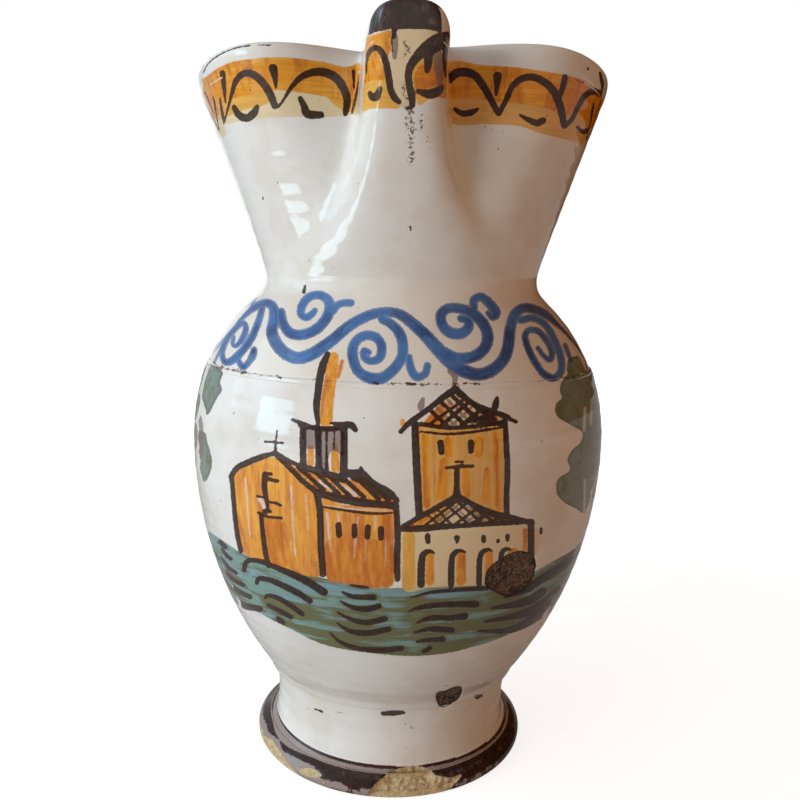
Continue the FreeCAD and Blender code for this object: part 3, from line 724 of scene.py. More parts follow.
# The coils behind: the shoulder's radius in millimetres, and how much a coil shrinks, flattens and thins
SCROLL_RADIUS = 68
COIL_SHRINKS = 0.78
COIL_FLATNESS = 0.9
COIL_THINS = 0.35


# Places in the picture
def picture_places(points):
    """Where points of the jug lie in the picture, in its pixels."""
    x = points[:, 0] - CAMERA_PLACE.x
    y = points[:, 1] - CAMERA_PLACE.y
    z = points[:, 2] - CAMERA_PLACE.z
    depth = y * math.cos(CAMERA_PITCH) - z * math.sin(CAMERA_PITCH)
    across = x / depth
    up = (y * math.sin(CAMERA_PITCH) + z * math.cos(CAMERA_PITCH)) / depth
    focal = PICTURE_SIZE * LENS / SENSOR_WIDTH
    right = CAMERA_CENTRE_X + focal * (across * math.cos(CAMERA_ROLL) + up * math.sin(CAMERA_ROLL))
    down = PICTURE_SIZE / 2 - focal * (up * math.cos(CAMERA_ROLL) - across * math.sin(CAMERA_ROLL))
    return np.stack([right, down], axis=1)


def wrapped_places(points, radius):
    """Where points lie on the jug's skin laid flat: along it once round from the beak, and up."""
    return np.stack([beak_angles(points) % (2 * math.pi) * radius, points[:, 2]], axis=1)


def wrapped_marks(marks, radius):
    """Marks in radians from the beak and metres up, on the jug's skin laid flat."""
    laid = []
    for mark in marks:
        laid.append([(point[0] % (2 * math.pi) * radius, *point[1:]) for point in mark])
    return laid


def beak_angles(points):
    """Angles round the axis, 0 at the beak and growing towards +X."""
    return np.arctan2(points[:, 0], -points[:, 1])


# Brush strokes and filled areas
def smooth_route(points, closed=False, steps=6):
    """More points, along the smooth curve through a few."""
    route = np.array(points, float)
    if len(route) < 3:
        return route
    if closed:
        ends = np.vstack([route[-1:], route, route[:2]])
    else:
        ends = np.vstack([2 * route[:1] - route[1:2], route, 2 * route[-1:] - route[-2:-1]])
    share = np.linspace(0, 1, steps, endpoint=False)[:, None]
    spans = []
    for before, start, end, after in zip(ends, ends[1:], ends[2:], ends[3:]):
        third = 3 * (start - end) + after - before
        second = 2 * before - 5 * start + 4 * end - after + share * third
        spans.append(start + 0.5 * share * (end - before + share * second))
    if not closed:
        spans.append(route[-1:])
    return np.vstack(spans)


def stroke_gaps(places, route):
    """How far places lie outside a stroke of the brush; less than 0 is inside."""
    nearest = np.full(len(places), np.inf)
    for start, end in zip(route, route[1:]):
        along = end[:2] - start[:2]
        share = np.clip((places - start[:2]) @ along / max(along @ along, 1e-12), 0, 1)
        away = np.linalg.norm(places - start[:2] - share[:, None] * along, axis=1)
        nearest = np.minimum(nearest, away - (start[2] + share * (end[2] - start[2])) / 2)
    return nearest


def area_gaps(places, outline):
    """How far places lie outside a filled area; less than 0 is inside."""
    nearest = np.full(len(places), np.inf)
    inside = np.zeros(len(places), bool)
    for start, end in zip(outline, np.roll(outline, -1, axis=0)):
        along = end - start
        share = np.clip((places - start) @ along / max(along @ along, 1e-12), 0, 1)
        nearest = np.minimum(nearest, np.linalg.norm(places - start - share[:, None] * along, axis=1))
        crossed = (start[1] > places[:, 1]) != (end[1] > places[:, 1])
        rise = np.where(crossed, end[1] - start[1], 1)
        inside ^= crossed & (places[:, 0] < start[0] + (places[:, 1] - start[1]) * along[0] / rise)
    return np.where(inside, -nearest, nearest)


def lay_marks(gaps, places, marks, chosen, unit):
    """Lower the gaps to those of some marks, for the chosen points. A unit is the places' step in metres."""
    reach = PAINT_REACH / unit
    for mark in marks:
        brush = len(mark[0]) == 3
        route = smooth_route(mark, closed=not brush)
        margin = reach + (route[:, 2].max() / 2 if brush else 0)
        low = route[:, :2].min(axis=0) - margin
        high = route[:, :2].max(axis=0) + margin
        near = np.flatnonzero(chosen & ((places > low) & (places < high)).all(axis=1))
        if len(near):
            found = (stroke_gaps if brush else area_gaps)(places[near], route) * unit
            gaps[near] = np.minimum(gaps[near], found)


# Marks that go on round the back, where the picture doesn't show
def in_metres(marks):
    """Marks in degrees from the beak and millimetres up, as radians and metres."""
    changed = []
    for mark in marks:
        changed.append([(math.radians(point[0]), *(value * MM for value in point[1:])) for point in mark])
    return changed


def coil(angle, height, size, turns, start_turn, sense, width):
    """A curl of the scroll, wound inwards, in degrees from the beak and millimetres."""
    steps = int(turns * 10)
    points = []
    for step in range(steps + 1):
        share = step / steps
        turn = math.radians(start_turn + sense * turns * 360 * share)
        reach = size * (1 - COIL_SHRINKS * share)
        across = math.degrees(reach * math.cos(turn) / SCROLL_RADIUS)
        up = reach * math.sin(turn) * COIL_FLATNESS
        points.append((angle + across, height + up, width * (1 - COIL_THINS * share)))
    return points


def back_scroll():
    """The scroll's waves, curls and coils behind the ones in the picture."""
    first, last, halves = 82.0, 283.0, 8
    step = (last - first) / halves
    wave = [(58, 186.3, 3.8), (62.5, 183, 3.8), (67, 178.3, 4), (71, 173.6, 4.2), (76, 170, 4.4)]
    curls = []
    for number in range(halves * 6 + 1):
        turn = number / 6
        wave.append((first + turn * step, 178 - 9.6 * math.cos(math.pi * turn), 4.5))
    wave += [(288.5, 170, 4.4), (293, 174, 4.2), (296, 179, 4), (299, 183.5, 3.8), (303, 187, 3.6)]
    for number in range(halves + 1):
        angle = first + number * step
        if number % 2:
            curls.append(coil(angle + 1.5, 174.5, 8.0, 1.5, 100, -1, 3.4))
            curls.append([(angle + 13, 168.5, 2.6), (angle + 15, 167, 3), (angle + 17.5, 169, 2.6)])
        else:
            curls.append(coil(angle - 1.5, 182, 7.5, 1.5, -80, -1, 3.6))
            curls.append([(angle + 6, 186, 2.6), (angle + 9, 188.5, 3), (angle + 12, 186.5, 2.6)])
    return in_metres([wave] + curls)


def back_band():
    """The band's arches, dashes and dabs behind the ones in the picture."""
    first, last, count = 71.5, 290.0, 9
    step = (last - first) / count
    marks = []
    for number in range(-1, count + 1):
        angle = first + number * step
        marks.append([(angle + 0.5, 252.5, 1.4), (angle + step * 0.16, 258, 1.8),
                      (angle + step * 0.32, 262.8, 2.4), (angle + step * 0.52, 264, 2.8),
                      (angle + step * 0.72, 261.5, 2.8), (angle + step * 0.88, 256.5, 2.6),
                      (angle + step - 0.6, 252.3, 2.0)])
        marks.append([(angle, 264.5, 2.6), (angle + 0.3, 260, 1.8), (angle + 0.2, 256.5, 0.8)])
        marks.append([(angle + step * 0.36, 253.5, 1.4), (angle + step * 0.48, 251.6, 2.4),
                      (angle + step * 0.62, 253, 2.0)])
    return in_metres(marks)


def back_sea():
    """Rows of wave strokes behind the ones in the picture."""
    marks = []
    for row in range(5):
        for number in range(11):
            angle = 64 + number * 21.5 + (row % 2) * 9
            if angle > 296:
                continue
            height = 92.5 - row * 4.9 + 1.0 * math.sin(number * 2.1 + row)
            marks.append([(angle, height - 1.5, 0.8), (angle + 4, height + 0.4, 1.8),
                          (angle + 9, height + 0.6, 2.2), (angle + 13.5, height - 0.6, 1.8)])
    return in_metres(marks)


def back_trees():
    """Foliage of the two big trees at the sides and two small ones behind."""
    big = ((-8, 158, 13), (0, 161, 14), (9, 157, 13), (-12, 149, 12), (-3, 150, 17), (7, 148, 16),
           (14, 146, 11), (-14, 137, 12), (-5, 138, 18), (6, 136, 18), (15, 134, 12), (-11, 126, 13),
           (0, 126, 18), (11, 125, 13), (-5, 116, 12), (6, 115, 12))
    small = ((-7, 143, 10), (0, 147, 11), (7, 142, 10), (-9, 134, 10), (0, 136, 15), (9, 133, 10),
             (-4, 127, 10), (5, 126, 9))
    lobes = []
    for centre, tree in ((74, big), (-86, big), (136, small), (-134, small)):
        for aside, height, width in tree:
            angle = centre + aside
            lobes.append([(angle, height, width), (angle + 2.5, height + 1.5, width * 0.8)])
    return in_metres(lobes)


def back_trunks():
    """Trunks, boughs and tufts of the trees."""
    marks = []
    for centre in (75, -85):
        marks.append([(centre, 96, 4.4), (centre - 0.5, 112, 3.4), (centre + 1, 132, 2.6),
                      (centre, 150, 1.6)])
        marks.append([(centre, 118, 2.2), (centre - 6, 132, 1.4)])
        marks.append([(centre + 1, 124, 2.2), (centre + 7, 138, 1.4)])
    for centre in (136, -134):
        marks.append([(centre, 96, 3.6), (centre + 0.5, 112, 2.8), (centre, 134, 1.6)])
        marks.append([(centre, 116, 1.8), (centre + 5, 128, 1.2)])
    for side in (1, -1):
        for angle in (98, 106, 114, 152, 160):
            marks.append([(side * angle, 95, 1.6), (side * (angle + 1.5), 101, 1.0)])
            marks.append([(side * angle, 95, 1.6), (side * (angle - 1.8), 100, 1.0)])
    return in_metres(marks)


def wrapped_area(start, end, low, high, wave):
    """A band of wash from one angle to another, with a slow wave in its edges."""
    angles = np.linspace(start, end, 24)
    top = [(angle, high + wave * math.sin(math.radians(angle * 5))) for angle in angles]
    bottom = [(angle, low + wave * math.sin(math.radians(angle * 4 + 60))) for angle in angles[::-1]]
    return in_metres([top + bottom])


BACK_MARKS = {
    "blue": (back_scroll(),),
    "sea": (wrapped_area(57, 303, 70.5, 96.5, 0.8),),
    "green": (back_trees(),),
    "brown": (back_sea(), back_trunks()),
}
BACK_BAND_MARKS = {
    "cream": (wrapped_area(64, 296, 250, 266.5, 0.4),),
    "orange": (wrapped_area(64, 296, 256.5, 266.5, 0.5),),
    "brown": (back_band(),),
}
BODY_MARKS = {
    "sea": (SEA_AREA,),
    "cream": (TOWER_CREAM,),
    "ochre": (TOWER_OCHRE,),
    "orange": (CHURCH_ORANGE, LANTERN_ORANGE, TOWER_ORANGE),
    "deep": (CHURCH_DEEP, TOWER_DEEP),
    "green": (TREE_GREEN,),
    "blue": (SCROLL,),
    "mauve": (FINIALS_MAUVE, TOWER_MAUVE, LANTERN_MAUVE),
    "brown": (CHURCH_BROWN, LANTERN_BROWN, TOWER_BROWN, SEA_BROWN, RIDGE_FLAWS),
    "bare": (CHURCH_BARE, TOWER_BARE, TREE_BARE),
}
NECK_MARKS = {
    "blue": (SCROLL,),
    "cream": (BAND_CREAM,),
    "ochre": (BAND_OCHRE,),
    "orange": (BAND_ORANGE,),
    "brown": (BAND_BROWN, RIM_BROWN, RIDGE_FLAWS),
}
BEAK_MARKS = {
    "cream": (BEAK_CREAM,),
    "mauve": (BEAK_MAUVE,),
    "pits": (BEAK_PITS,),
    "ochre": (BEAK_OCHRE,),
    "orange": (BEAK_ORANGE,),
    "deep": (BEAK_DEEP,),
    "brown": (BEAK_BROWN, CAP_BROWN, RIDGE_FLAWS),
    "bare": (CAP_BARE,),
}


def facing_camera(points, normals, slant):
    """Which points turn towards the camera by more than a slant, 0 to 1."""
    sight = points - np.array(CAMERA_PLACE)
    sight /= np.linalg.norm(sight, axis=1, keepdims=True)
    return (sight * normals).sum(axis=1) < -slant


def paint_gaps(points, normals, outside, groups, back, radius):
    """For every coat, how far each point is outside it. A group is (marks, which points it may reach)."""
    seen = outside & facing_camera(points, normals, SEEN_SLANT) & (points[:, 1] < SEEN_BACK)
    behind = outside & (~seen | (np.abs(beak_angles(points)) > BACK_START_ANGLE))
    picture = picture_places(points)
    flat = wrapped_places(points, radius)
    coats = {}
    for coat in COATS:
        gaps = np.full(len(points), PAINT_REACH)
        for marks, reached in groups:
            for batch in marks.get(coat, ()):
                lay_marks(gaps, picture, batch, seen & reached, PICTURE_STEP)
        for batch in back.get(coat, ()):
            lay_marks(gaps, flat, wrapped_marks(batch, radius), behind, 1.0)
        coats[coat] = gaps
    return coats


# Thrown forms
def stored_points(piece):
    """A piece's points and their normals."""
    mesh = piece.data
    points = np.empty(len(mesh.vertices) * 3)
    mesh.vertices.foreach_get("co", points)
    normals = np.empty(len(mesh.vertices) * 3)
    mesh.vertices.foreach_get("normal", normals)
    return points.reshape(-1, 3), normals.reshape(-1, 3)


def move_points(piece, points):
    """Put a piece's points somewhere else."""
    piece.data.vertices.foreach_set("co", np.asarray(points, float).ravel())
    piece.data.update()


def made_object(name, form):
    """The object that a worked form becomes."""
    mesh = bpy.data.meshes.new(name)
    form.to_mesh(mesh)
    form.free()
    made = bpy.data.objects.new(name, mesh)
    bpy.context.scene.collection.objects.link(made)
    return made


def level_centre(start, end, height):
    """Centre, at a given height, of the arc through two points."""
    squares = end[0] ** 2 - start[0] ** 2 + (end[1] - height) ** 2 - (start[1] - height) ** 2
    return squares / (2 * (end[0] - start[0])), height


def bend_centre(start, end, radius, bulge):
    """Centre of the arc between two points; bulge 1 puts it on the left of the way there."""
    chord = Vector(end) - Vector(start)
    reach = math.sqrt(max(radius ** 2 - (chord.length / 2) ** 2, 0))
    side = Vector((-chord.y, chord.x)).normalized()
    return tuple((Vector(end) + Vector(start)) / 2 + side * reach * bulge)


def arc(start, end, centre, spacing):
    """Points from start towards end round a centre, the end left out."""
    first = math.atan2(start[1] - centre[1], start[0] - centre[0])
    last = math.atan2(end[1] - centre[1], end[0] - centre[0])
    swing = (last - first + math.pi) % (2 * math.pi) - math.pi
    radius = math.hypot(start[0] - centre[0], start[1] - centre[1])
    steps = max(int(math.ceil(abs(swing) * radius / spacing)), 1)
    turns = [first + swing * step / steps for step in range(steps)]
    return [(centre[0] + radius * math.cos(turn), centre[1] + radius * math.sin(turn)) for turn in turns]


def line(start, end, spacing):
    """Points from start towards end along a straight line, the end left out."""
    steps = max(int(math.ceil(math.dist(start, end) / spacing)), 1)
    way = (end[0] - start[0], end[1] - start[1])
    return [(start[0] + way[0] * (step / steps), start[1] + way[1] * (step / steps)) for step in range(steps)]


def rounded(points, radius, spacing):
    """A run of straight lines with its inner corners rounded."""
    run = [points[0]]
    for before, corner, after in zip(points, points[1:], points[2:]):
        middle = Vector(corner)
        back = Vector(before) - middle
        forth = Vector(after) - middle
        cut = min(radius, back.length / 2, forth.length / 2)
        start = middle + back.normalized() * cut
        end = middle + forth.normalized() * cut
        steps = max(int(cut / spacing * 1.5), 2)
        for step in range(steps + 1):
            share = step / steps
            bend = start * (1 - share) ** 2 + middle * 2 * share * (1 - share) + end * share ** 2
            # a corner's curve may start where the one before it ended
            if math.dist(bend, run[-1]) > TINY / 10:
                run.append((bend.x, bend.y))
    run.append(points[-1])
    return run


def turned_piece(name, outline, columns, crowding, closed):
    """Spin an outline of (radius, height) points about the axis; the columns crowd towards the beak.

    The spin has few steps. Its rings are then subdivided, and each point gets its own radius back.
    """
    form = bmesh.new()
    reach = form.verts.layers.float.new("reach")
    corners = []
    for radius, height in outline:
        corner = form.verts.new((0, -radius, height))
        corner[reach] = radius
        corners.append(corner)
    edges = [form.edges.new(pair) for pair in zip(corners, corners[1:])]
    if closed:
        edges.append(form.edges.new((corners[-1], corners[0])))
    bmesh.ops.spin(form, geom=corners + edges, axis=(0, 0, 1), cent=(0, 0, 0), steps=SPIN_STEPS,
                   angle=2 * math.pi, use_merge=True)
    on_axis = [vert for vert in form.verts if vert[reach] < TINY]
    if on_axis:
        bmesh.ops.remove_doubles(form, verts=on_axis, dist=TINY)
    # an edge of a ring is level and as long as a step of the spin; the others lie along the outline
    rings = []
    for edge in form.edges:
        start, end = edge.verts
        level = abs(start.co.z - end.co.z) < TINY / 10 and abs(start[reach] - end[reach]) < TINY / 10
        chord = 2 * math.sin(math.pi / SPIN_STEPS) * start[reach]
        if level and edge.calc_length() > chord * 0.9:
            rings.append(edge)
    bmesh.ops.subdivide_edges(form, edges=rings, cuts=columns // SPIN_STEPS - 1, use_grid_fill=False)
    bmesh.ops.recalc_face_normals(form, faces=form.faces)
    piece = made_object(name, form)
    kept = piece.data.attributes["reach"]
    points = stored_points(piece)[0]
    radius = np.empty(len(points))
    kept.data.foreach_get("value", radius)
    piece.data.attributes.remove(kept)
    turn = beak_angles(points)
    turn -= crowding * np.sin(turn)
    points[:, 0] = radius * np.sin(turn)
    points[:, 1] = -radius * np.cos(turn)
    move_points(piece, points)
    return piece


def rising(values, start, end):
    """0 up to the start, 1 from the end, and in a straight line between them."""
    return np.clip((values - start) / (end - start), 0, 1)


def neck_lean(height):
    """How far the neck leans to the left at a height in millimetres."""
    return NECK_LEAN * rising(height, *NECK_LEAN_LEVELS) ** 2


def thrown_unevenly(points):
    """The jug's small faults: the axis wanders, the wall swells a little and the throwing left rings."""
    angle = beak_angles(points)
    side, front, height = points[:, 0], -points[:, 1] / MM, points[:, 2] / MM
    radius = np.hypot(points[:, 0], points[:, 1])
    uneven = 0
    for depth, pitch, lean, sway, sway_pitch in THROWING_RINGS:
        uneven += depth * np.sin(height * pitch + lean * angle + sway * np.sin(height * sway_pitch))
    for depth, count, twist, start in THROWING_SWELLS:
        uneven += depth * np.sin(count * angle + height * twist + start)
    outwards = uneven * MM * np.clip(radius / AXIS_CALM, 0, 1) / np.maximum(radius, MM)
    moved = points.copy()
    moved[:, 0] += points[:, 0] * outwards
    moved[:, 1] += points[:, 1] * outwards
    foot_lean = FOOT_LEAN * np.clip(1 - height / FOOT_LEAN_END, 0, 1) ** 2
    beak_lean = BEAK_LEAN * rising(front, *BEAK_LEAN_REACH) * rising(height, *NECK_LEAN_LEVELS) ** 2
    moved[:, 0] += (foot_lean + neck_lean(height) + beak_lean) * MM
    sag = np.where(side > 0, RIM_SAG_RIGHT, RIM_SAG_LEFT) * np.abs(side) / RIM_SAG_RADIUS
    moved[:, 2] -= rising(height, *RIM_SAG_LEVELS) ** 3 * np.clip(sag, 0, 2) * MM
    tip = rising(height, *TIP_LEVELS) ** 2 * rising(front, *TIP_REACH)
    moved[:, 2] += tip * (TIP_RISE - TIP_DROOP * np.clip(np.abs(side) / TIP_HALF_WIDTH, 0, 1.1) ** 2) * MM
    return moved


def seat_blend(heights, seat):
    """The luting's soft fillet between the shoulder and the neck."""
    return SEAT_BLEND * np.exp(-np.abs(heights - seat) / SEAT_BLEND_REACH)


def chipped(points, normals, outside):
    """Points with the chips broken out of them, and how far each point is outside the chips."""
    picture = picture_places(points)
    seen = outside & facing_camera(points, normals, 0) & (points[:, 1] < 0)
    gaps = np.full(len(points), PAINT_REACH)
    moved = points.copy()
    for depth, area in CHIPS:
        chip = np.full(len(points), PAINT_REACH)
        lay_marks(chip, picture, (area,), seen, PICTURE_STEP)
        gaps = np.minimum(gaps, chip)
        for index in np.flatnonzero(chip < CHIP_BANK):
            place = Vector(points[index]) / MM
            rough = noise.fractal(place * 0.55, 0.8, 2.1, 3) * 0.34 + noise.noise(place * 0.22) * 0.5
            bank = CHIP_BANK * 0.15 - chip[index] + rough * 0.5 * MM
            sunk = 1 - math.exp(-max(bank, 0) / CHIP_BANK)
            moved[index] -= normals[index] * depth * sunk * (1 + rough * 0.7)
    return moved, gaps


def shape_body_piece(piece, radius):
    """Give a piece of the body its faults and chips; its points, which are outside, and its coats."""
    move_points(piece, thrown_unevenly(stored_points(piece)[0]))
    points, normals = stored_points(piece)
    span = np.maximum(np.hypot(points[:, 0], points[:, 1]), MM)
    outside = (normals[:, 0] * points[:, 0] + normals[:, 1] * points[:, 1]) / span > -0.05
    points, chips = chipped(points, normals, outside)
    everywhere = np.ones(len(points), bool)
    coats = paint_gaps(points, normals, outside, ((BODY_MARKS, everywhere),), BACK_MARKS, radius)
    coats["clay"] = chips
    move_points(piece, points)
    return points, outside, coats


def finish_piece(piece, node, coats, sharp_angle=40):
    """Store the coats, in millimetres; smooth shading with crisp corners, the glaze and the piece's place."""
    mesh = piece.data
    for coat, gaps in coats.items():
        attribute = mesh.attributes.new(coat, "FLOAT", "POINT")
        attribute.data.foreach_set("value", np.ascontiguousarray(gaps / MM, dtype=np.float32))
    mesh.polygons.foreach_set("use_smooth", np.ones(len(mesh.polygons), bool))
    mesh.set_sharp_from_angle(angle=math.radians(sharp_angle))
    mesh.materials.append(glaze_material())
    mesh.update()
    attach(piece, "root")
    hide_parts(node)


# Materials
class Output:
    """A node's output. Sums, differences and products of outputs add the nodes that work them out."""

    def __init__(self, node, name=0):
        self.socket = node.outputs[name]

    @property
    def tree(self):
        return self.socket.id_data

    def step(self, operation, other=0.0, turned=False):
        """One node of arithmetic, with this output first, or second where the two are turned round."""
        values = (other, self) if turned else (self, other)
        node = put(self.tree, "ShaderNodeMath", *values)
        node.operation = operation
        return Output(node)

    def __add__(self, other):
        return self.step("ADD", other)

    def __sub__(self, other):
        return self.step("SUBTRACT", other)

    def __rsub__(self, other):
        return self.step("SUBTRACT", other, turned=True)

    def __mul__(self, other):
        return self.step("MULTIPLY", other)

    def __abs__(self):
        return self.step("ABSOLUTE")


def feed(socket, value):
    """Give a socket a constant or a node's output."""
    if isinstance(value, Output):
        socket.id_data.links.new(value.socket, socket)
    elif socket.type == "RGBA":
        socket.default_value = (*value, 1)
    else:
        socket.default_value = value


def put(tree, kind, *values, **named):
    """Add a node and feed its sockets, the first ones in order and others by name."""
    node = tree.nodes.new(kind)
    for socket, value in zip(node.inputs, values):
        feed(socket, value)
    for name, value in named.items():
        feed(node.inputs[name], value)
    return node


def blend(factor, under, over, kind="RGBA"):
    """One colour over another, or one number over another where the kind is FLOAT."""
    first, result = MIX_SOCKETS[kind]
    node = put(factor.tree, "ShaderNodeMix", factor)
    node.data_type = kind
    feed(node.inputs[first], under)
    feed(node.inputs[first + 1], over)
    return Output(node, result)


def spread(value, low, high):
    """0 at low, 1 at high, and a smooth rise between them."""
    node = put(value.tree, "ShaderNodeMapRange", value, low, high)
    node.interpolation_type = "SMOOTHSTEP"
    return Output(node)


def cloud(place, scale, detail=3.0, roughness=0.5, stretch=(1, 1, 1)):
    """Soft noise, finer with a larger scale, and drawn out where stretch is small."""
    mapped = Output(put(place.tree, "ShaderNodeMapping", Vector=place, Scale=stretch))
    return Output(put(place.tree, "ShaderNodeTexNoise", Vector=mapped, Scale=scale, Detail=detail,
                      Roughness=roughness))


def coat_gap(tree, coat):
    """How far the surface is outside a coat of paint, in millimetres."""
    node = put(tree, "ShaderNodeAttribute")
    node.attribute_name = coat
    return Output(node, "Fac")


def cover_within(gap, wobble, softness=0.1):
    """How much a coat of paint covers: all inside its edge, nothing outside."""
    return spread(gap + wobble, softness, -softness)


def speck_dots(place, scale, share, size):
    """Scattered small round dots: in a share of the cells, up to a size."""
    cells = put(place.tree, "ShaderNodeTexVoronoi", Vector=place, Scale=scale)
    picked = put(place.tree, "ShaderNodeSeparateColor", Output(cells, "Color"))
    near = Output(picked, 1) * size - Output(cells, "Distance")
    return spread(near, 0.0, size * 0.35) * Output(picked, 0).step("LESS_THAN", share)


def glaze_material():
    """The tin glaze with everything painted on it, and the clay in its chips."""
    known = bpy.data.materials.get("painted_tin_glaze")
    if known:
        return known
    colours = bpy.context.scene.jug_colours
    material = bpy.data.materials.new("painted_tin_glaze")
    material.use_nodes = True
    tree = material.node_tree
    shader = tree.nodes["Principled BSDF"]
    place = Output(put(tree, "ShaderNodeTexCoord"), "Object")
    parts = put(tree, "ShaderNodeSeparateXYZ", place)
    across = Output(parts, 0)
    height = Output(parts, 2)
    gaps = {coat: coat_gap(tree, coat) for coat in COATS}

    # The bare glaze: mottled, creamier on the shoulder, warmer where it is thin
    mottle = cloud(place, 38, 5, 0.6)
    fine = cloud(place, 700, 3, 0.6)
    glaze = blend(spread(mottle, 0.38, 0.72), colours.glaze, colours.glaze_thin)
    creamy = spread(height, *CREAM_STARTS) * spread(height, *CREAM_ENDS)
    glaze = blend(creamy * 0.45, glaze, colours.glaze_cream)

    # Uneven edges of the brush, and its streaks: upright on the buildings, level in the band
    wobble = (cloud(place, 900, 2) - 0.5) * 0.5
    upright = cloud(place, 560, 4, 0.6, (1, 1, 0.09))
    level = cloud(place, 700, 3, 0.6, (0.05, 0.05, 1))
    streak = blend(height.step("GREATER_THAN", BAND_LOW), upright, level, "FLOAT")
    patches = cloud(place, 160, 3, 0.6)
    drips = cloud(place, 260, 3, 0.6, (1, 1, 0.22))
    kept = 1.0 - cover_within(gaps["bare"], wobble, 0.35) * 0.66

    # The water, in level strokes of blue-green, olive and blue; more olive low down, beside brown strokes,
    # and towards the right, where it is partly painted shade
    sweep = cloud(place, 260, 3, 0.55, (0.13, 0.13, 1))
    sweep_two = cloud(place, 300, 2, 0.5, (0.12, 0.12, 1.3))
    olive = sweep + (spread(gaps["brown"], 2.2, 0.3) * 0.06 + spread(height, *SEA_DARKENS) * 0.09)
    # painted shade in part: the olive grows towards the jug's darker right side
    olive = olive - spread(across, *SEA_LIGHTENS) * 0.09
    water = blend(spread(sweep_two, 0.5, 0.66), colours.sea, colours.sea_blue)
    water = blend(spread(olive, 0.46, 0.6), water, colours.sea_olive)
    colour = blend(cover_within(gaps["sea"], wobble) * 0.94, glaze, water)

    # Cream, ochre and orange washes, in streaks
    colour = blend(cover_within(gaps["cream"], wobble) * 0.72, colour, colours.cream)
    thin = blend(spread(streak, 0.35, 0.7), colours.ochre, colours.orange_pale)
    colour = blend(cover_within(gaps["ochre"], wobble, 0.25) * kept * 0.88, colour, thin)
    wash = blend(spread(streak, 0.44, 0.64) * 0.85, colours.orange, colours.orange_pale)
    wash = blend(spread(drips, 0.46, 0.68) * 0.75, wash, colours.orange_deep)
    colour = blend(cover_within(gaps["orange"], wobble, 0.28) * kept * 0.95, colour, wash)
    deep = cover_within(gaps["deep"], wobble, 0.45) * kept * spread(streak, 0.3, 0.62)
    colour = blend(deep * 0.75, colour, colours.orange_deep)

    # Foliage, darker towards its edge
    leaf = blend(spread(gaps["green"], -1.6, -0.1) * 0.5, colours.leaf, colours.leaf_deep)
    leaf = blend(spread(patches, 0.48, 0.7), leaf, colours.sea_olive)
    colour = blend(cover_within(gaps["green"], wobble) * kept * 0.93, colour, leaf)

    # Blue, streaked along the stroke and pooled in places, thinner at its edges
    slow = cloud(place, 55, 2, 0.5)
    along = Output(put(tree, "ShaderNodeCombineXYZ", gaps["blue"] * 1.5, slow * 9.0))
    bristle = Output(put(tree, "ShaderNodeTexNoise", Vector=along, Scale=1.3, Detail=3.0))
    wet = bristle * 0.55 + slow * 0.75
    cobalt = blend(spread(wet + patches * 0.3, 0.66, 0.98), colours.blue, colours.blue_deep)
    blue = cover_within(gaps["blue"], wobble * 1.3, 0.14) * (spread(gaps["blue"], 0.05, -0.9) * 0.2 + 0.76)
    colour = blend(blue, colour, cobalt)

    # Manganese, thin and full; a stroke is warmer at its edges, and a broad one is worn
    colour = blend(cover_within(gaps["mauve"], wobble) * 0.8, colour, colours.mauve)
    brown = cover_within(gaps["brown"], wobble)
    thinner = (spread(fine, 0.35, 0.7) + spread(gaps["brown"], -0.6, 0.1)).step("MINIMUM", 1.0)
    drawn = blend(thinner * 0.75, colours.brown, colours.brown_warm)
    broad = spread(gaps["brown"], -1.6, -2.6) * spread(drips, 0.5, 0.66)
    drawn = blend(broad * 0.55, drawn, colours.mauve)
    colour = blend(brown * 0.96, colour, drawn)

    # Glaze worn off the ridge in small dark spots
    on_ridge = spread(abs(height - RIDGE_EDGE), *RIDGE_WEAR)
    spots = cloud(place, 620, 4, 0.65, (0.6, 0.6, 1)) + cloud(place, 45, 2, 0.5) * 0.45
    worn = spread(spots + on_ridge * 0.2, 0.99, 1.02)
    colour = blend(worn * 0.9, colour, colours.brown_warm)

    # Pinholes and iron specks
    specks = speck_dots(place, 150, 0.36, 0.075).step("MAXIMUM", speck_dots(place, 330, 0.22, 0.1))
    crumbs = cloud(place, 900, 4, 0.65) + spread(gaps["pits"], 0.3, -1.9) * 0.16
    specks = specks.step("MAXIMUM", cover_within(gaps["pits"], 0.0) * spread(crumbs, 0.66, 0.69))
    colour = blend(specks * 0.8, colour, colours.brown_warm)

    # Bare clay: fresh and grained on the foot, weathered and veined in the chips above it
    clay = cover_within(gaps["clay"], wobble, 0.08)
    grain = cloud(place, 700, 5, 0.7)
    cracks = cloud(place, 240, 4, 0.65)
    low_clay = blend(spread(grain, 0.35, 0.65), colours.clay, CLAY_GRAIN)
    low_clay = blend(spread(abs(cracks - 0.5), 0.05, 0.0) * 0.3, low_clay, CLAY_DIRT)
    old_clay = blend(spread(cracks, 0.42, 0.6), colours.clay_dark, CLAY_CRACKS)
    veins = spread(abs(cloud(place, 420, 3, 0.6) - 0.5), 0.035, 0.0)
    old_clay = blend(veins * 0.6, old_clay, CLAY_VEINS)
    old_clay = blend(spread(gaps["clay"], -0.9, -0.2) * 0.85, old_clay, CLAY_RIM)
    ground = blend(spread(height, *OLD_CLAY_LEVELS), low_clay, old_clay)
    feed(shader.inputs["Base Color"], blend(clay, colour, ground))

    gloss = spread(mottle, 0.3, 0.8) * 0.06 + (brown * 0.1 + 0.05)
    feed(shader.inputs["Roughness"], blend(clay, gloss, CLAY_ROUGHNESS, "FLOAT"))
    shader.inputs["Coat Weight"].default_value = 0.12
    shader.inputs["Coat Roughness"].default_value = 0.03

    # Orange peel, pinholes, the paint's body and the clay's grain
    relief = cloud(place, 260, 2, 0.5) * 0.05 - specks * 0.08
    relief = relief + brown * 0.03 + fine * 0.012 + grain * clay * 0.6
    feed(shader.inputs["Normal"], Output(put(tree, "ShaderNodeBump", Height=relief, Distance=MM)))
    return material


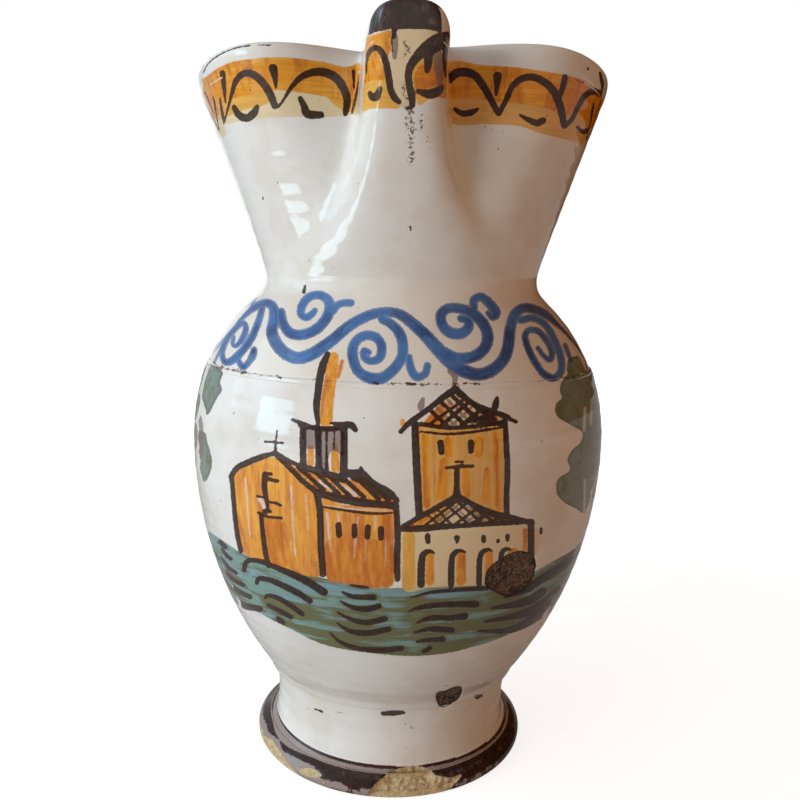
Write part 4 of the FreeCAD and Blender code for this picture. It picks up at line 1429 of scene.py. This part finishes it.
# Pieces
class JUG_OT_foot(bpy.types.Operator):
    """Throw the spread foot: a waisted stem on a ringed flange, hollow below"""

    bl_idname = "jug.foot"
    bl_label = "Foot"

    def execute(self, context):
        form = context.scene.jug_form
        top = form.waist_height
        stem_top = (form.waist_radius - 1 * MM, top)
        stem_foot = (form.stem_foot_radius, form.stem_foot_height)
        edge = form.flange_edge
        flange = [
            (form.bore_radius, 0),
            (form.flange_radius - 2.5 * MM, 0),
            (form.flange_radius - 1.1 * MM, 1.3 * MM),
            (form.flange_radius - 1 * MM, edge - 0.6 * MM),
            (form.flange_radius - 3 * MM, edge + 1.5 * MM),
            (form.stem_foot_radius + 2.5 * MM, edge + 3.6 * MM),
            (form.stem_foot_radius + 2.1 * MM, edge + 3.2 * MM),
            (form.stem_foot_radius + 1.5 * MM, edge + 3.9 * MM),
            (form.stem_foot_radius + 0.7 * MM, edge + 4.6 * MM),
            stem_foot,
        ]
        outline = []
        smooth = rounded(flange, 0.9 * MM, ROUND_ROW)
        for start, end in zip(smooth, smooth[1:]):
            outline += line(start, end, 0.6 * MM)
        outline += arc(stem_foot, stem_top, bend_centre(stem_foot, stem_top, form.stem_bend, -1), 0.9 * MM)
        outline += [stem_top, (SOCKET_RADIUS, top), (SOCKET_RADIUS, top - SPIGOT_DEPTH)]
        hollow_top = (SOCKET_RADIUS + 0.2 * MM, top - SPIGOT_DEPTH - 0.4 * MM)
        outline += line(hollow_top, (form.bore_radius, 1 * MM), COARSE_ROW)
        piece = turned_piece("foot_ring_glazed", outline, form.body_columns, BODY_CROWDING, closed=True)
        points, outside, coats = shape_body_piece(piece, form.flange_radius)
        self.ring_paint(form, points, outside, coats)
        finish_piece(piece, "foot_ring", coats)
        return {"FINISHED"}

    def ring_paint(self, form, points, outside, coats):
        """The dark ring on the flange, the thin line over it, and the clay that shows below; the ring fades
        out on the left as a painted highlight where the light falls, and mauve shows there as painted sheen.
        """
        out = np.hypot(points[:, 0], points[:, 1]) - form.stem_foot_radius
        low = points[:, 2] < form.stem_foot_height + 0.8 * MM
        flange = outside & low & (out > 0)
        worn = np.zeros(len(points))
        for index in np.flatnonzero(flange):
            place = Vector(points[index]) / MM
            worn[index] = (noise.noise(place * 0.09) * 1.6 + noise.noise(place * 0.4) * 0.7) * MM
        # the ring's inner edge is even and its outer one worn, and it fades out on the left as a painted
        # highlight where the light falls
        ring = np.maximum(2.1 * MM - out, out - 7.5 * MM - worn)
        ring += 2.6 * MM * np.exp(-((np.degrees(beak_angles(points)) + 56) / 20) ** 2)
        thin_line = np.abs(out - 0.6 * MM) - 0.45 * MM
        ring = np.minimum(ring, thin_line)
        worn_edge = 8.5 * MM - out - worn * 0.8
        coats["clay"] = np.where(flange, np.minimum(coats["clay"], worn_edge), coats["clay"])
        coats["brown"] = np.where(flange, np.minimum(coats["brown"], ring), coats["brown"])
        # mauve over all the flange: a thin manganese line by the stem, and painted sheen where the ring fades
        # on the left
        coats["mauve"] = np.where(flange, -np.minimum(out, 1 * MM), coats["mauve"])
        sole = np.where(points[:, 2] < 1.4 * MM, points[:, 2] - 0.9 * MM, PAINT_REACH)
        hollow = np.where(outside, PAINT_REACH, -PAINT_REACH)
        coats["clay"] = np.minimum(coats["clay"], np.minimum(sole, hollow))


class JUG_OT_belly(bpy.types.Operator):
    """Throw the belly and paint the landscape on it"""

    bl_idname = "jug.belly"
    bl_label = "Belly"

    def execute(self, context):
        form = context.scene.jug_form
        middle = form.belly_height
        waist = (form.waist_radius, form.waist_height)
        widest = (form.belly_radius, middle)
        ridge = (form.ridge_radius, form.ridge_height)
        inner_ridge = (form.ridge_radius - form.wall, form.ridge_height)
        inner_widest = (form.belly_radius - form.wall, middle)
        floor_edge = (form.floor_radius, form.waist_height + form.floor_thickness)
        spigot = (SPIGOT_RADIUS, form.waist_height - SPIGOT_DEPTH)
        lower = level_centre(waist, widest, middle)
        upper = level_centre(widest, ridge, middle)
        rise = middle - PAINTED_LOW
        painted = (lower[0] + math.sqrt(math.dist(lower, waist) ** 2 - rise ** 2), PAINTED_LOW)
        outline = line((0, spigot[1]), spigot, COARSE_ROW)
        outline += [spigot, (SPIGOT_RADIUS, waist[1] + 0.1 * MM)]
        outline += rounded([
            (46 * MM, waist[1] + 0.1 * MM),
            (waist[0] - 0.9 * MM, waist[1] + 0.1 * MM),
            (waist[0] - 0.6 * MM, waist[1] - 0.8 * MM),
            (waist[0] + 0.6 * MM, waist[1] - 0.9 * MM),
            (waist[0] + 1.3 * MM, waist[1] + 0.7 * MM),
            (waist[0] + 1.9 * MM, waist[1] + 2.4 * MM),
        ], 0.8 * MM, ROUND_ROW)[1:-1]
        low_wall = arc(waist, painted, lower, MIDDLE_ROW)
        outline += [point for point in low_wall if point[1] > waist[1] + 2.6 * MM]
        outline += arc(painted, widest, lower, FINE_ROW)
        outline += arc(widest, ridge, upper, FINE_ROW)[:-1]
        outline += rounded([
            (ridge[0] + 0.05 * MM, ridge[1] - 1 * MM),
            (ridge[0], ridge[1] + 0.35 * MM),
            (ridge[0] - 1.6 * MM, ridge[1] + RIDGE_TONGUE),
        ], EDGE_ROUND, 0.2 * MM)
        outline += [(inner_ridge[0], ridge[1] + RIDGE_TONGUE)]
        for start, end in ((inner_ridge, inner_widest), (inner_widest, floor_edge)):
            outline += arc(start, end, level_centre(start, end, middle), COARSE_ROW)
        outline += [floor_edge, (0, floor_edge[1])]
        piece = turned_piece("belly_painted", outline, form.body_columns, BODY_CROWDING, closed=False)
        finish_piece(piece, "belly", shape_body_piece(piece, form.belly_radius)[2])
        return {"FINISHED"}


class JUG_OT_shoulder(bpy.types.Operator):
    """Throw the shoulder and paint the blue scroll on it"""

    bl_idname = "jug.shoulder"
    bl_label = "Shoulder"

    def execute(self, context):
        form = context.scene.jug_form
        bend = form.shoulder_bend
        low = (form.ridge_radius - 0.8 * MM, form.ridge_height)
        top = (form.seat_radius, form.seat_height)
        inner_top = (form.seat_radius - form.wall, form.seat_height)
        inner_low = (form.ridge_radius - form.wall, form.ridge_height + RIDGE_TONGUE)
        outline = arc(low, top, bend_centre(low, top, bend, 1), SHOULDER_ROW) + [top]
        outline = [(radius + seat_blend(height, top[1]), height) for radius, height in outline]
        outline += [(top[0] - 1.4 * MM, top[1])]
        outline += arc(inner_top, inner_low, bend_centre(inner_top, inner_low, bend, -1), 3 * MM)
        outline += [inner_low, (form.ridge_radius - 2.4 * MM, form.ridge_height)]
        piece = turned_piece("shoulder_painted", outline, form.body_columns, BODY_CROWDING, closed=True)
        finish_piece(piece, "shoulder", shape_body_piece(piece, form.ridge_radius)[2])
        return {"FINISHED"}


def rise_shares(form, heights):
    """0 at the throat and below it, 1 at the rim."""
    return np.maximum((heights - form.throat_height) / (form.rim_height - form.throat_height), 0)


def round_radii(form, heights):
    """Radii of the neck away from the beak."""
    rise = rise_shares(form, heights)
    drop = np.maximum((form.throat_height - heights) / (form.throat_height - form.seat_height), 0)
    soft = FLARE_ROUND_SHARE
    flare = (np.hypot(rise, soft) - soft) / (math.hypot(1, soft) - soft)
    return form.throat_radius + (form.mouth_radius - form.throat_radius) * flare + (
        form.seat_radius - form.throat_radius) * drop ** 2 + seat_blend(heights, form.seat_height)


def plan_radii(form, angles, heights, insets):
    """Radii of the neck's face at angles from the beak, inset from its outer face."""
    radii = round_radii(form, heights) - insets
    rise = rise_shares(form, heights)
    pinch = np.where(angles > 0, form.right_pinch, form.left_pinch)
    dents = pinch * rise ** PINCH_GROWTH_POWER
    dent_angles = PINCH_ANGLE + np.degrees(insets * DENT_WIDENING_SHARE / radii)
    dented = radii - dents * np.exp(-(np.abs(np.degrees(angles)) / dent_angles) ** PINCH_POWER)
    fronts = form.throat_radius + (form.spout_reach - form.throat_radius) * rise - insets
    middles = (fronts + radii - dents) / 2
    half_angles = np.arcsin((form.spout_width / 2 - insets) / middles)
    half_angles *= 1 + BEAK_SPREAD_SHARE * np.maximum(1 - rise, 0) ** BEAK_SPREAD_POWER
    beak = np.exp(-(np.abs(angles) / half_angles) ** BEAK_EDGE_POWER)
    return np.where(rise > 0, dented + (fronts - radii + dents) * beak, radii)


def pinched(form, points):
    """A turned ring's points, whose radius says how deep in the wall they are, moved to the pinched plan."""
    angles = beak_angles(points)
    insets = WORK_RADIUS - np.hypot(points[:, 0], points[:, 1])
    heights = points[:, 2]
    radii = plan_radii(form, angles, heights, insets)
    x = radii * np.sin(angles)
    y = -radii * np.cos(angles)
    lift = form.beak_lift * -y / form.spout_reach + form.side_lift * x / form.mouth_radius
    return np.stack([x, y, heights + lift * rise_shares(form, heights)], axis=1), insets


def shape_neck_piece(form, piece):
    """Pinch a piece of the neck and give it its faults; its points, which are outside, and its coats."""
    points, insets = pinched(form, stored_points(piece)[0])
    move_points(piece, thrown_unevenly(points))
    points, normals = stored_points(piece)
    outside = insets < form.wall / 2
    on_beak = (np.abs(beak_angles(points)) < BEAK_SPLIT_ANGLE) & (points[:, 2] > BAND_LOW)
    groups = ((NECK_MARKS, ~on_beak), (BEAK_MARKS, on_beak))
    coats = paint_gaps(points, normals, outside, groups, BACK_BAND_MARKS, form.mouth_radius)
    return points, outside, coats


class JUG_OT_neck(bpy.types.Operator):
    """Throw the neck, pinch its beak and paint the band on it"""

    bl_idname = "jug.neck"
    bl_label = "Neck and beak"

    def execute(self, context):
        form = context.scene.jug_form
        outer = WORK_RADIUS
        inner = WORK_RADIUS - form.wall
        low = form.seat_height
        throat = form.throat_height + 4 * MM
        top = form.rim_height - form.lip_height
        outline = line((inner, top), (inner, low), INNER_ROW)
        outline += [(inner, low), (inner + form.wall / 2, low)]
        outline += line((outer, low), (outer, throat), THROAT_ROW)
        outline += line((outer, throat), (outer, NECK_BAND_LOW), MIDDLE_ROW)
        outline += line((outer, NECK_BAND_LOW), (outer, top), NECK_BAND_ROW)
        outline += [(outer, top)]
        piece = turned_piece("neck_spout_painted", outline, form.neck_columns, NECK_CROWDING, closed=True)
        finish_piece(piece, "neck_spout", shape_neck_piece(form, piece)[2], 60)
        return {"FINISHED"}


class JUG_OT_lip(bpy.types.Operator):
    """Roll the lip round the rim and over the beak's tip"""

    bl_idname = "jug.lip"
    bl_label = "Lip"

    def execute(self, context):
        form = context.scene.jug_form
        rounding = (form.wall - form.lip_crest) / 2
        base = form.rim_height - form.lip_height
        outer_side = []
        inner_side = []
        for row in range(LIP_ROWS + 1):
            share = math.sin(math.pi / 2 * row / LIP_ROWS)
            inset = rounding * (1 - math.sqrt(max(1 - share ** 4, 0)))
            level = base + form.lip_height * share
            outer_side.append((WORK_RADIUS - inset, level))
            inner_side.append((WORK_RADIUS - form.wall + inset, level))
        crest = (WORK_RADIUS - form.wall / 2, form.rim_height + 0.25 * MM)
        outline = outer_side + [crest] + inner_side[::-1]
        piece = turned_piece("rim_lip_painted", outline, form.neck_columns, NECK_CROWDING, closed=True)
        points, outside, coats = shape_neck_piece(form, piece)
        self.cap_paint(form, points, outside, coats)
        finish_piece(piece, "rim_lip", coats, 60)
        return {"FINISHED"}

    def cap_paint(self, form, points, outside, coats):
        """The dark cap goes on over the beak's tip and a little way in, and a worn line round the crest."""
        brown = coats["brown"]
        hidden = ~outside | (points[:, 2] > form.rim_height + 2.6 * MM)
        cap = CAP_REACH + points[:, 1]
        brown = np.where(hidden & (points[:, 1] < 0), np.minimum(brown, cap), brown)
        angle = beak_angles(points)
        crest = form.rim_height - 0.9 * MM - points[:, 2]
        worn = 0.8 * MM * np.sin(angle * 7 + 0.6) + 0.5 * MM * np.sin(angle * 17)
        behind = np.abs(angle) > CREST_START_ANGLE
        coats["brown"] = np.where(behind, np.minimum(brown, crest + worn + 0.4 * MM), brown)


class JUG_OT_handle(bpy.types.Operator):
    """Pull the strap handle, lute it on behind and bar it with brown"""

    bl_idname = "jug.handle"
    bl_label = "Handle"

    def execute(self, context):
        form = context.scene.jug_form
        places, headings = self.route(form)
        strap = bmesh.new()
        made = bmesh.ops.create_circle(strap, segments=64, radius=1.0, cap_ends=False)
        first = sorted(made["verts"], key=lambda vert: math.atan2(vert.co.y, vert.co.x))
        ring = first
        for number, (place, heading) in enumerate(zip(places, headings)):
            # the strap narrows towards its middle, and spreads and thickens where its ends are luted on
            share = number / (len(places) - 1)
            ends = max(1 - share / 0.1, 1 - (1 - share) / 0.07, 0) ** 2
            width = form.handle_width * (1.0 - 0.2 * math.sin(math.pi * share) ** 0.8) * (1 + 0.35 * ends)
            thick = form.handle_thickness * (0.94 + 0.22 * ends)
            if number:
                grown = bmesh.ops.extrude_edge_only(strap, edges=self.ring_edges(ring))
                ring = self.in_order(ring, grown)
            self.place_ring(ring, place, heading, width, thick, share)
        for end in (first, ring):
            bmesh.ops.contextual_create(strap, geom=self.ring_edges(end))
        bmesh.ops.recalc_face_normals(strap, faces=strap.faces)
        piece = made_object("strap_handle_glazed", strap)
        points = stored_points(piece)[0]
        points[:, 0] += neck_lean(points[:, 2] / MM) * MM
        move_points(piece, points)
        coats = {coat: np.full(len(points), PAINT_REACH) for coat in COATS}
        self.bar_paint(places, headings, points, coats)
        finish_piece(piece, "strap_handle", coats, 75)
        return {"FINISHED"}

    def route(self, form):
        """Places along the strap's middle line, and which way it heads there."""
        reach = HANDLE_HIGH.y - form.handle_thickness / 2
        top = HANDLE_HIGH.z - form.handle_thickness / 2
        upper = form.handle_upper_bend
        lower = form.handle_lower_bend
        end = (form.belly_radius - 6 * MM, form.handle_seat)
        swing = math.acos((end[0] - reach + lower) / lower)
        low_centre = form.handle_seat + lower * math.sin(swing)
        bend = (reach - upper, top)
        run = line((71 * MM, top), bend, STRAP_ROW)
        run += arc(bend, (reach, top - upper), (reach - upper, top - upper), STRAP_ROW)
        run += line((reach, top - upper), (reach, low_centre), STRAP_ROW)
        run += arc((reach, low_centre), end, (reach - lower, low_centre), STRAP_ROW)
        places = np.array(run + [end])
        headings = np.gradient(places, axis=0)
        return places, headings / np.linalg.norm(headings, axis=1, keepdims=True)

    def ring_edges(self, ring):
        """The edges that join a ring's points."""
        members = set(ring)
        return list({edge for vert in ring for edge in vert.link_edges if edge.other_vert(vert) in members})

    def in_order(self, ring, grown):
        """The new ring's points, in the order of the old one's."""
        new = {element for element in grown["geom"] if isinstance(element, bmesh.types.BMVert)}
        ordered = []
        for vert in ring:
            beyond = [edge.other_vert(vert) for edge in vert.link_edges if edge.other_vert(vert) in new]
            ordered.append(beyond[0])
        return ordered

    def place_ring(self, ring, place, heading, width, thick, share):
        """Shape a ring into the strap's section, with two thumb grooves outside, and put it in place."""
        out = Vector((-heading[1], heading[0]))
        for number, vert in enumerate(ring):
            turn = 2 * math.pi * number / len(ring) - math.pi
            across = math.copysign(abs(math.cos(turn)) ** STRAP_SQUARENESS, math.cos(turn)) * width / 2
            over = math.copysign(abs(math.sin(turn)) ** STRAP_SQUARENESS, math.sin(turn)) * thick / 2
            if over > 0:
                groove = math.exp(-((abs(across) - width * 0.2) / (width * 0.075)) ** 2)
                over -= 1.1 * MM * groove * math.sin(math.pi * min(max(share, 0.02), 0.98)) ** 0.4
            vert.co = Vector((across, place[0] + out.x * over, place[1] + out.y * over))

    def bar_paint(self, places, headings, points, coats):
        """Brown bars across the outside of the strap."""
        steps = np.concatenate([[0], np.cumsum(np.linalg.norm(np.diff(places, axis=0), axis=1))])
        away = points[:, None, 1:] - places[None]
        nearest = (away ** 2).sum(axis=2).argmin(axis=1)
        offset = points[:, 1:] - places[nearest]
        out = np.stack([-headings[nearest, 1], headings[nearest, 0]], axis=1)
        over = (offset * out).sum(axis=1)
        travel = steps[nearest] + (offset * headings[nearest]).sum(axis=1)
        marks = []
        for number in range(BAR_COUNT):
            level = BAR_START + number * BAR_SPACING
            marks.append([(-BAR_REACH, level + 1.2 * MM, 2.2 * MM), (0, level - 0.8 * MM, 3.6 * MM),
                          (BAR_REACH, level + 0.6 * MM, 1.8 * MM)])
        lay_marks(coats["brown"], np.stack([points[:, 0], travel], axis=1), marks, over > 0, 1.0)


# Stage
def looking_rays(ray):
    """1 for the rays that the camera sends, also through glass."""
    return Output(ray, "Is Camera Ray").step("MAXIMUM", Output(ray, "Is Transmission Ray"))


class JUG_OT_stage(bpy.types.Operator):
    """Set the pale floor, the soft light and the camera"""

    bl_idname = "jug.stage"
    bl_label = "Stage"

    def execute(self, context):
        self.floor()
        self.world(context.scene)
        lamps = {row[0]: self.lamp(*row) for row in LAMPS}
        for name in UNMIRRORED_LAMPS:
            lamps[name].visible_glossy = False
        for name in MIRRORED_ONLY_LAMPS:
            lamps[name].visible_diffuse = False
            lamps[name].visible_camera = False
        neck_only = bpy.data.collections.new("neck_only")
        neck_only.objects.link(bpy.data.objects["neck_spout_painted"])
        lamps["low_glow"].light_linking.receiver_collection = neck_only
        self.camera(context.scene)
        context.scene.view_settings.view_transform = "Standard"
        return {"FINISHED"}

    def floor(self):
        """A wide pale floor, white to the camera apart from the jug's shadow."""
        form = bmesh.new()
        bmesh.ops.create_grid(form, x_segments=1, y_segments=1, size=FLOOR_REACH)
        floor = made_object("floor", form)
        material = bpy.data.materials.new("pale_floor")
        material.use_nodes = True
        tree = material.node_tree
        shader = tree.nodes["Principled BSDF"]
        feed(shader.inputs["Base Color"], FLOOR_COLOUR)
        feed(shader.inputs["Roughness"], 0.9)
        feed(shader.inputs["Specular IOR Level"], 0.1)
        feed(shader.inputs["Emission Color"], WHITE)
        feed(shader.inputs["Emission Strength"], self.floor_glow(tree))
        floor.data.materials.append(material)

    def floor_glow(self, tree):
        """The floor's white for what looks at it, a little for what mirrors it, and none as light."""
        ray = put(tree, "ShaderNodeLightPath")
        shown = looking_rays(ray).step("MAXIMUM", Output(ray, "Is Glossy Ray") * FLOOR_MIRRORED)
        away = put(tree, "ShaderNodeVectorMath", Output(put(tree, "ShaderNodeTexCoord"), "Object"))
        away.operation = "LENGTH"
        return shown * (spread(Output(away, "Value"), 0.25, 0.9) * 0.21 + 0.84)

    def world(self, scene):
        """White behind the jug; a dim room, darker and warmer on the right, for the light that it gives."""
        world = bpy.data.worlds.new("studio")
        scene.world = world
        world.use_nodes = True
        tree = world.node_tree
        background = tree.nodes["Background"]
        direction = put(tree, "ShaderNodeSeparateXYZ", Output(put(tree, "ShaderNodeTexCoord"), "Generated"))
        right = Output(direction, 0)
        away = Output(direction, 1)
        ray = put(tree, "ShaderNodeLightPath")
        mirrored = Output(ray, "Is Glossy Ray")
        room = blend(spread(right, -0.75, 0.3), ROOM_LEFT, ROOM_RIGHT)
        room = blend(spread(away, -0.25, -0.95), room, ROOM_FRONT)
        room = blend(mirrored * ROOM_DIMMED_IN_MIRRORS, room, BLACK)
        backdrop = spread(away, 0.82, 0.92) * spread(right, 0.35, 0.05)
        shown = looking_rays(ray).step("MAXIMUM", mirrored * backdrop)
        feed(background.inputs["Color"], blend(shown, room, WHITE))
        feed(background.inputs["Strength"], 1)

    def lamp(self, name, place, target, size, power, colour):
        """A soft rectangular lamp that looks at a place."""
        light = bpy.data.lights.new(name, "AREA")
        light.shape = "RECTANGLE"
        light.size = size[0]
        light.size_y = size[1]
        light.energy = power
        light.color = colour
        lamp = bpy.data.objects.new(name, light)
        bpy.context.scene.collection.objects.link(lamp)
        lamp.location = place
        lamp.rotation_euler = (Vector(target) - Vector(place)).to_track_quat("-Z", "Y").to_euler()
        return lamp

    def camera(self, scene):
        """The picture's camera."""
        lens = bpy.data.cameras.new("picture_camera")
        lens.sensor_width = SENSOR_WIDTH
        lens.lens = LENS
        lens.shift_x = (PICTURE_SIZE / 2 - CAMERA_CENTRE_X) / PICTURE_SIZE
        lens.clip_start = 0.01
        camera = bpy.data.objects.new("picture_camera", lens)
        scene.collection.objects.link(camera)
        camera.location = CAMERA_PLACE
        tilt = Matrix.Rotation(math.pi / 2 - CAMERA_PITCH, 4, "X") @ Matrix.Rotation(CAMERA_ROLL, 4, "Z")
        camera.rotation_euler = tilt.to_euler()
        scene.camera = camera


class JUG_PT_panel(bpy.types.Panel):
    """The jug's pieces and sizes"""

    bl_idname = "JUG_PT_panel"
    bl_label = "Jug"
    bl_space_type = "VIEW_3D"
    bl_region_type = "UI"
    bl_category = "Jug"

    def draw(self, context):
        for operator in OPERATORS:
            self.layout.operator(operator.bl_idname)
        for group in (context.scene.jug_form, context.scene.jug_colours):
            column = self.layout.column()
            for name in group.__annotations__:
                column.prop(group, name)


OPERATORS = (JUG_OT_foot, JUG_OT_belly, JUG_OT_shoulder, JUG_OT_neck, JUG_OT_lip, JUG_OT_handle, JUG_OT_stage)
CLASSES = (JugForm, JugColours, *OPERATORS, JUG_PT_panel)


def register():
    for cls in CLASSES:
        bpy.utils.register_class(cls)
    bpy.types.Scene.jug_form = PointerProperty(type=JugForm)
    bpy.types.Scene.jug_colours = PointerProperty(type=JugColours)


def unregister():
    del bpy.types.Scene.jug_colours
    del bpy.types.Scene.jug_form
    for cls in reversed(CLASSES):
        bpy.utils.unregister_class(cls)


def main():
    register()
    bpy.ops.jug.foot()
    bpy.ops.jug.belly()
    bpy.ops.jug.shoulder()
    bpy.ops.jug.neck()
    bpy.ops.jug.lip()
    bpy.ops.jug.handle()
    bpy.ops.jug.stage()


if __name__ == "__main__":
    main()
